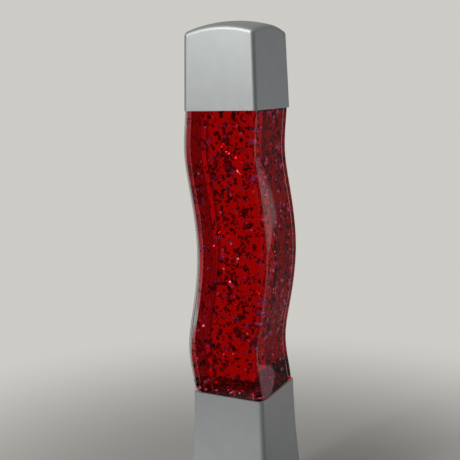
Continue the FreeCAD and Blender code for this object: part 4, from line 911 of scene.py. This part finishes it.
@dataclass
class Glitter:
    """Six-sided flakes, floating in the liquid and lying on the bottle's floor.

    The glints are the ways in which a flake throws the front lamp to the front right. A huddled flake lies
    near the one made before it. Tilts are slopes.
    """

    bottle: Bottle
    kinds: tuple[FlakeKind, ...] = (
        # The dark flakes' foil is partly painted shade.
        FlakeKind("dark", SHADED_DARK_FOIL, floating=1150, clinging=150, settled=560, widest=0.0037),
        FlakeKind("red", RED_FOIL, floating=260, clinging=110, settled=420, widest=0.003, turned=50),
        FlakeKind("violet", VIOLET_FOIL, floating=160, clinging=160, settled=110, widest=0.003, turned=12),
        FlakeKind("bright", BRIGHT_FOIL, floating=150, clinging=90, settled=90, widest=0.002, turned=70),
        FlakeKind("rose", ROSE_FOIL, floating=0, clinging=340, settled=0, widest=0.003, walls=(0,)),
    )
    glints: tuple[Point, ...] = ((0.063, -0.962, 0.267), (0.342, -0.891, 0.3))
    thickness: float = 0.00006
    margin: float = 0.0014
    huddled: float = 0.6
    huddle_spread: float = 0.05
    huddle_rise: float = 0.0016
    clinging_depth: float = 0.03
    clinging_tilt: float = 0.22
    collar_reach: float = 0.9
    settled_depth: float = 0.004
    settled_gap: float = 0.0004
    settled_slump: float = 1.3
    settled_tilt: float = 0.28
    spin: float = 6.28
    chance: np.random.RandomState = field(default_factory=lambda: np.random.RandomState(SEED))

    def flakes(self, form: Form, middles: np.ndarray, normals: np.ndarray, widths: np.ndarray) -> None:
        """Add flakes to a form, each turned about its normal by chance.

        Args:
            form: The form that takes them.
            middles: Their middles.
            normals: The way that each one faces.
            widths: Their widths from corner to corner.
        """
        corners = np.arange(6) * math.pi / 3
        for middle, normal, width in zip(middles, normals, widths):
            helper = np.array([1.0, 0, 0]) if abs(normal[0]) < 0.8 else np.array([0, 1.0, 0])
            across = np.cross(normal, helper)
            across /= np.linalg.norm(across)
            other = np.cross(normal, across)
            turned = corners + self.chance.rand() * self.spin
            rim = np.outer(np.cos(turned), across) + np.outer(np.sin(turned), other)
            lift = normal * self.thickness / 2
            upper = form.ring(middle + rim * width / 2 + lift)
            lower = form.ring(middle + rim * width / 2 - lift)
            form.skin([lower, upper])
            form.lid(upper, upward=True)
            form.lid(lower, upward=False)

    def strew(self, kind: FlakeKind, lying: Lying, middles: np.ndarray, normals: np.ndarray, miss: float,
              narrowest: float) -> None:
        """Make a piece of flakes of one colour.

        Args:
            kind: The colour.
            lying: Where they are.
            middles: Their middles.
            normals: The way that each one faces.
            miss: How far the turned ones miss the glints.
            narrowest: The narrowest flake's width as a share of the widest one's.
        """
        for number in range(kind.turned):
            normals[number] = np.array(self.glints[number % 2]) + self.chance.normal(0, miss, 3)
        normals /= np.linalg.norm(normals, axis=1, keepdims=True)
        widths = kind.widest * (narrowest + (1 - narrowest) * self.chance.rand(len(middles)))
        form = Form()
        self.flakes(form, middles, normals, widths)
        word, slot, node = lying.value
        replaced = (node,) if kind.name == "dark" else ()
        form.piece(f"{word}_{kind.name}_flakes", kind.finish, "bottle", slot, replaced)

    def floating(self, kind: FlakeKind) -> None:
        """The flakes of one colour that float or cling to a wall.

        Args:
            kind: The colour.
        """
        bottle, chance = self.bottle, self.chance
        count = kind.floating + kind.clinging
        low = bottle.cavity_floor + self.settled_depth + self.margin
        high = bottle.level - self.margin
        heights = low + (high - low) * chance.rand(count)
        across = 2 * chance.rand(count, 2) - 1
        for number in range(1, count):
            if chance.rand() < self.huddled:
                beside = across[number - 1] + chance.normal(0, self.huddle_spread, 2)
                across[number] = np.clip(beside, -1, 1)
                above = heights[number - 1] + chance.normal(0, self.huddle_rise)
                heights[number] = np.clip(above, low, high)
        normals = chance.normal(size=(count, 3))
        wall = np.array(kind.walls)[chance.randint(0, len(kind.walls), count)]
        for number in range(kind.floating, count):
            axis, side = wall[number] % 2, 1 - 2 * (wall[number] // 2)
            across[number, axis] = side * (1.0 - self.clinging_depth * chance.rand())
            normals[number] *= self.clinging_tilt
            normals[number, axis] += side
        over = heights > bottle.wave.high - self.margin
        narrow = (bottle.inner_half - self.margin) * self.collar_reach
        reach = np.where(over, narrow, bottle.cavity_half_x - self.margin)
        sway = np.where(over, 0.0, bottle.wave.at(heights))
        middles = np.column_stack([sway + reach * across[:, 0], reach * across[:, 1], heights])
        self.strew(kind, Lying.FLOATING, middles, normals, miss=0.03, narrowest=0.6)

    def settled(self, kind: FlakeKind) -> None:
        """The flakes of one colour that lie on the floor.

        Args:
            kind: The colour.
        """
        bottle, chance = self.bottle, self.chance
        count = kind.settled
        pile = (self.settled_depth - 2 * self.settled_gap) * chance.rand(count) ** self.settled_slump
        heights = bottle.cavity_floor + self.settled_gap + pile
        reach_x = bottle.cavity_half_x - self.margin
        reach_y = bottle.cavity_half_y - self.margin
        middles = np.column_stack([
            bottle.wave.at(heights) + reach_x * (2 * chance.rand(count) - 1),
            reach_y * (2 * chance.rand(count) - 1),
            heights,
        ])
        normals = np.column_stack([chance.normal(0, self.settled_tilt, (count, 2)), np.ones(count)])
        self.strew(kind, Lying.SETTLED, middles, normals, miss=0.04, narrowest=0.7)

    def make(self) -> None:
        """All the flakes."""
        for kind in self.kinds:
            self.floating(kind)
            if kind.settled:
                self.settled(kind)


PALE: Colour = (0.615, 0.6, 0.565)


@dataclass(frozen=True)
class Lamp:
    """A square lamp that looks at a point: its place, its side, its power in watts and its colour."""

    name: str
    place: Point
    side: float
    power: float
    colour: Colour
    aim: Point = (0.0, 0.0, 0.3)

    def hang(self) -> None:
        """Hang the lamp in the scene."""
        light = bpy.data.lights.new(self.name, "AREA")
        light.shape = "SQUARE"
        light.size = self.side
        light.energy = self.power
        light.color = self.colour
        made = into_scene(self.name, light)
        made.location = self.place
        made.rotation_euler = (Vector(self.aim) - Vector(self.place)).to_track_quat("-Z", "Y").to_euler()


@dataclass
class Studio:
    """The floor, the room's light and the lamps: a large soft one, and a small one that makes flakes glint.

    The room is pale where the camera looks, with darker screens between, so that clear and shiny faces show
    their edges. The darkness just past the screens' end near 64 degrees, and the dip from 54 to 70 degrees
    in the room seen through glass, are a painted shadow of the lamp on a wall behind it; on the floor a
    painted pink glow lies just short of that shadow's edge. Each row gives a compass angle in degrees from
    +X towards
    +Y and the brightness there. The spans are the compass angles, distances or rises in which one thing
    fades into another.
    """

    near_floor: Room = (
        (-180, 0.3), (-150, 0.42), (-90, 0.42), (-66, 0.12), (-46, 0.05), (-30, 0.04), (10, 0.05),
        (40, 0.14), (70, 0.2), (90, 0.5), (140, 0.5), (180, 0.3),
    )
    # Past the screen's end near 64 degrees the room stays dark until about 70 degrees: a painted shadow of
    # the lamp on a wall.
    low_room: Room = (
        (-180, 0.15), (-160, 0.12), (-138, 0.03), (-100, 0.02), (-84, 0.1), (-66, 0.08), (-46, 0.05),
        (-34, 0.03), (12, 0.05), (60, 0.08), (68, 0.08), (86, 0.3), (110, 0.35), (125, 0.35), (145, 0.15),
        (180, 0.15),
    )
    # Past the screen's end near 64 degrees the room stays dark until about 70 degrees: a painted shadow of
    # the lamp on a wall.
    high_room: Room = (
        (-180, 0.12), (-146, 0.12), (-138, 1.03), (-100, 1.03), (-90, 0.2), (-70, 0.22), (-34, 0.06),
        (10, 0.06), (60, 0.08), (68, 0.08), (90, 0.22), (110, 0.32), (125, 0.3), (145, 0.12), (180, 0.12),
    )
    # The dip from 54 to 70 degrees is a painted shadow of the lamp on a wall behind it, seen through the
    # glass.
    through_room: Room = (
        (-180, 0.55), (-158, 0.5), (-130, 0.32), (-80, 0.32), (-60, 0.5), (-36, 0.5), (-10, 0.28),
        (10, 0.4), (25, 0.68), (47, 0.68), (54, 0.24), (70, 0.26), (76, 0.4), (84, 0.52), (95, 0.52),
        (102, 0.22), (108, 0.53), (116, 0.56), (140, 0.56), (180, 0.55),
    )
    brightest: float = 1.5
    ceiling: float = 0.28
    horizon: Span = (-0.02, 0.05)
    eaves: Span = (0.3, 0.55)
    floor_grain: Colour = (0.58, 0.565, 0.53)
    floor_radii: tuple[float, ...] = (0.0001, 0.2, 0.6, 1.5, 4.0, 30.0)
    floor_sides: int = 96
    seen_fade: Span = (0.12, 0.55)
    lit_fade: Span = (0.05, 0.16)
    near_fade: Span = (0.31, 0.36)
    slant_fade: Span = (0.9, 1.3)
    screen: Colour = (0.53, 0.51, 0.54)
    # Painted light: the pink of the floor's screen near its end stands for red light shining through the
    # bottle onto the table.
    painted_glow_screen: Colour = (0.72, 0.4, 0.5)
    low_screen: Span = (12.0, 16.0)
    high_screen: Span = (55.0, 59.0)
    # Where the screens end, the lamp's painted shadow begins.
    painted_shadow_edge: Span = (63.55, 63.95)
    # Compass angles over which the painted pink glow fades in.
    painted_glow: Span = (59.75, 61.25)
    screen_middle: Point = (0.033, 0.0, 0.0)
    screen_slant: float = 3.0
    lamps: tuple[Lamp, ...] = (
        Lamp("front_lamp", (-0.3, -0.85, 0.85), side=0.6, power=2.2, colour=(1.0, 0.99, 0.97)),
        Lamp("small_lamp", (-0.3, -0.85, 0.86), side=0.1, power=1.3, colour=(1.0, 1.0, 1.0)),
    )

    def angle(self, tree: Tree, way: Value) -> Value:
        """Compass angle of a direction, in degrees."""
        x, y = tree.part(way, "X"), tree.part(way, "Y")
        return y.math("ARCTAN2", y, x) * (180 / math.pi)

    def compass(self, tree: Tree, way: Value, room: Room) -> Value:
        """How bright a room is in each direction, as a share of the brightest."""
        stops = [(angle / 360 + 0.5, self.dimmed((bright,) * 3)) for angle, bright in room]
        return tree.add("ShaderNodeValToRGB", {"stops": stops}, {0: self.angle(tree, way) * (1 / 360) + 0.5})

    def dimmed(self, colour: Colour) -> Colour:
        """A colour as a share of the brightest."""
        return tuple(part / self.brightest for part in colour)

    def screened(self, tree: Tree, angle: Value, room: Value, start: Span, tone: Value | Colour) -> Value:
        """A room with the screen in front of it, from where that starts to the edge of the lamp's painted
        shadow.
        """
        there = angle.step(*start) * (1.0 - angle.step(*self.painted_shadow_edge))
        return tree.blend(there, room, tone)

    def shown(self, tree: Tree, kind: str, way: Value, room: Value) -> Value:
        """A shader that is pale to the camera and shows the room to everything else.

        Args:
            tree: The tree.
            kind: The shader's type.
            way: The direction.
            room: The room's brightness for rays that don't come through glass.

        Returns:
            The shader.
        """
        through = self.compass(tree, way, self.through_room)
        bright = tree.blend(tree.ray("Is Transmission Ray"), room, through)
        lit = tree.add(kind, None, {"Color": bright, "Strength": self.brightest})
        seen = tree.add(kind, None, {"Color": PALE, "Strength": 1.0})
        return tree.add("ShaderNodeMixShader", None, {0: tree.ray("Is Camera Ray"), 1: lit, 2: seen})

    def floor_paint(self) -> bpy.types.Material:
        """The floor's paint near the lamp, which fades into the backdrop and the room, where a painted pink
        glow lies beside the painted shadow of the lamp.

        Returns:
            The material.
        """
        material = bpy.data.materials.new("studio_floor_paint")
        tree = Tree(material)
        place = tree.place()
        distance = tree.add("ShaderNodeVectorMath", {"operation": "LENGTH"}, {0: place}, "Value")
        grain = tree.noise(600.0, 3.0, 0.6)
        grained = tree.blend(grain * 0.15, PALE, self.floor_grain)
        paint = tree.add("ShaderNodeBsdfDiffuse", None, {"Color": grained})
        middle = self.screen_middle
        aside = tree.add("ShaderNodeVectorMath", {"operation": "SUBTRACT"}, {0: place, 1: middle})
        close = 1.0 - distance.step(*self.slant_fade)
        slanted = self.angle(tree, aside) + close * self.screen_slant
        # Painted light: near the lamp, a pink glow is painted on the floor's screen just short of the lamp's
        # painted shadow.
        painted_glow = close * slanted.step(*self.painted_glow)
        tone = tree.blend(painted_glow, self.dimmed(self.screen), self.dimmed(self.painted_glow_screen))
        low = self.compass(tree, place, self.low_room)
        far = self.screened(tree, slanted, low, self.low_screen, tone)
        room = tree.blend(distance.step(*self.near_fade), self.compass(tree, place, self.near_floor), far)
        camera = tree.ray("Is Camera Ray")
        fade = distance.step(*self.seen_fade) * camera + distance.step(*self.lit_fade) * (1.0 - camera)
        shown = self.shown(tree, "ShaderNodeEmission", place, room)
        tree.finish(tree.add("ShaderNodeMixShader", None, {0: fade, 1: paint, 2: shown}))
        return material

    def make_floor(self) -> None:
        """A plain pale floor whose far part fades into the backdrop."""
        form = Form()
        angles = np.arange(self.floor_sides) * math.pi / (self.floor_sides / 2)
        rings = []
        for radius in self.floor_radii:
            flat = np.column_stack([radius * np.cos(angles), radius * np.sin(angles), 0 * angles])
            rings.append(form.ring(flat))
        form.skin(list(reversed(rings)))
        form.lid(rings[0], upward=True)
        floor = form.stand("studio_floor", self.floor_paint())

    def make_room(self) -> None:
        """The world: plain and pale to the camera, and a softly lit room to everything else."""
        world = bpy.data.worlds.new("studio_room")
        bpy.context.scene.world = world
        tree = Tree(world)
        way = tree.add("ShaderNodeTexCoord", output="Generated")
        rise = tree.part(way, "Z")
        angle = self.angle(tree, way)
        tone = self.dimmed(self.screen)
        low = self.compass(tree, way, self.low_room)
        high = self.compass(tree, way, self.high_room)
        # The screens stop at the lamp's painted shadow.
        below = self.screened(tree, angle, low, self.low_screen, tone)
        above = self.screened(tree, angle, high, self.high_screen, tone)
        around = tree.blend(rise.step(*self.horizon), below, above)
        roofed = tree.blend(rise.step(*self.eaves), around, self.dimmed((self.ceiling,) * 3))
        tree.finish(self.shown(tree, "ShaderNodeBackground", way, roofed))

    def make_lamps(self) -> None:
        """The lamps."""
        for lamp in self.lamps:
            lamp.hang()


@dataclass(frozen=True)
class Viewpoint:
    """Where the photograph was taken from."""

    focal: float = 834.94
    picture: float = 460.0
    distance: float = 0.64566
    azimuth: float = math.radians(27.14)
    height: float = 0.3628
    down: float = math.radians(10.12)
    roll: float = math.radians(-1.575)
    aside: float = math.radians(0.7485)
    sensor: float = 36.0
    nearest: float = 0.01

    def make_camera(self) -> None:
        """The camera, which becomes the scene's."""
        data = bpy.data.cameras.new("photo_camera")
        data.sensor_width = self.sensor
        data.lens = self.focal / self.picture * self.sensor
        data.clip_start = self.nearest
        camera = into_scene("photo_camera", data)
        yaw = self.azimuth + self.aside
        ahead = Vector((-math.sin(yaw) * math.cos(self.down), math.cos(yaw) * math.cos(self.down),
                        -math.sin(self.down)))
        level = Vector((math.cos(yaw), math.sin(yaw), 0.0))
        upright = level.cross(ahead)
        right = level * math.cos(self.roll) + upright * math.sin(self.roll)
        up = upright * math.cos(self.roll) - level * math.sin(self.roll)
        place = Vector((self.distance * math.sin(self.azimuth), -self.distance * math.cos(self.azimuth),
                        self.height))
        turn = Matrix((right, up, -ahead)).transposed().to_4x4()
        camera.matrix_world = Matrix.Translation(place) @ turn
        bpy.context.scene.camera = camera


def main() -> None:
    """Dress the lamp and set it in the studio."""
    logging.basicConfig(level=logging.INFO, format="%(name)s: %(message)s")
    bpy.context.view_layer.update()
    Viewpoint().make_camera()
    for assembly in (Cap(), Closure(), Base(), Lampholder(), Wiring(), Switch(), Bulb()):
        assembly.dress()
    bottle = Bottle()
    bottle.make_glass()
    bottle.make_liquid()
    Glitter(bottle).make()
    studio = Studio()
    studio.make_floor()
    studio.make_room()
    studio.make_lamps()
    bpy.context.scene.view_settings.view_transform = "Standard"


if __name__ == "__main__":
    main()
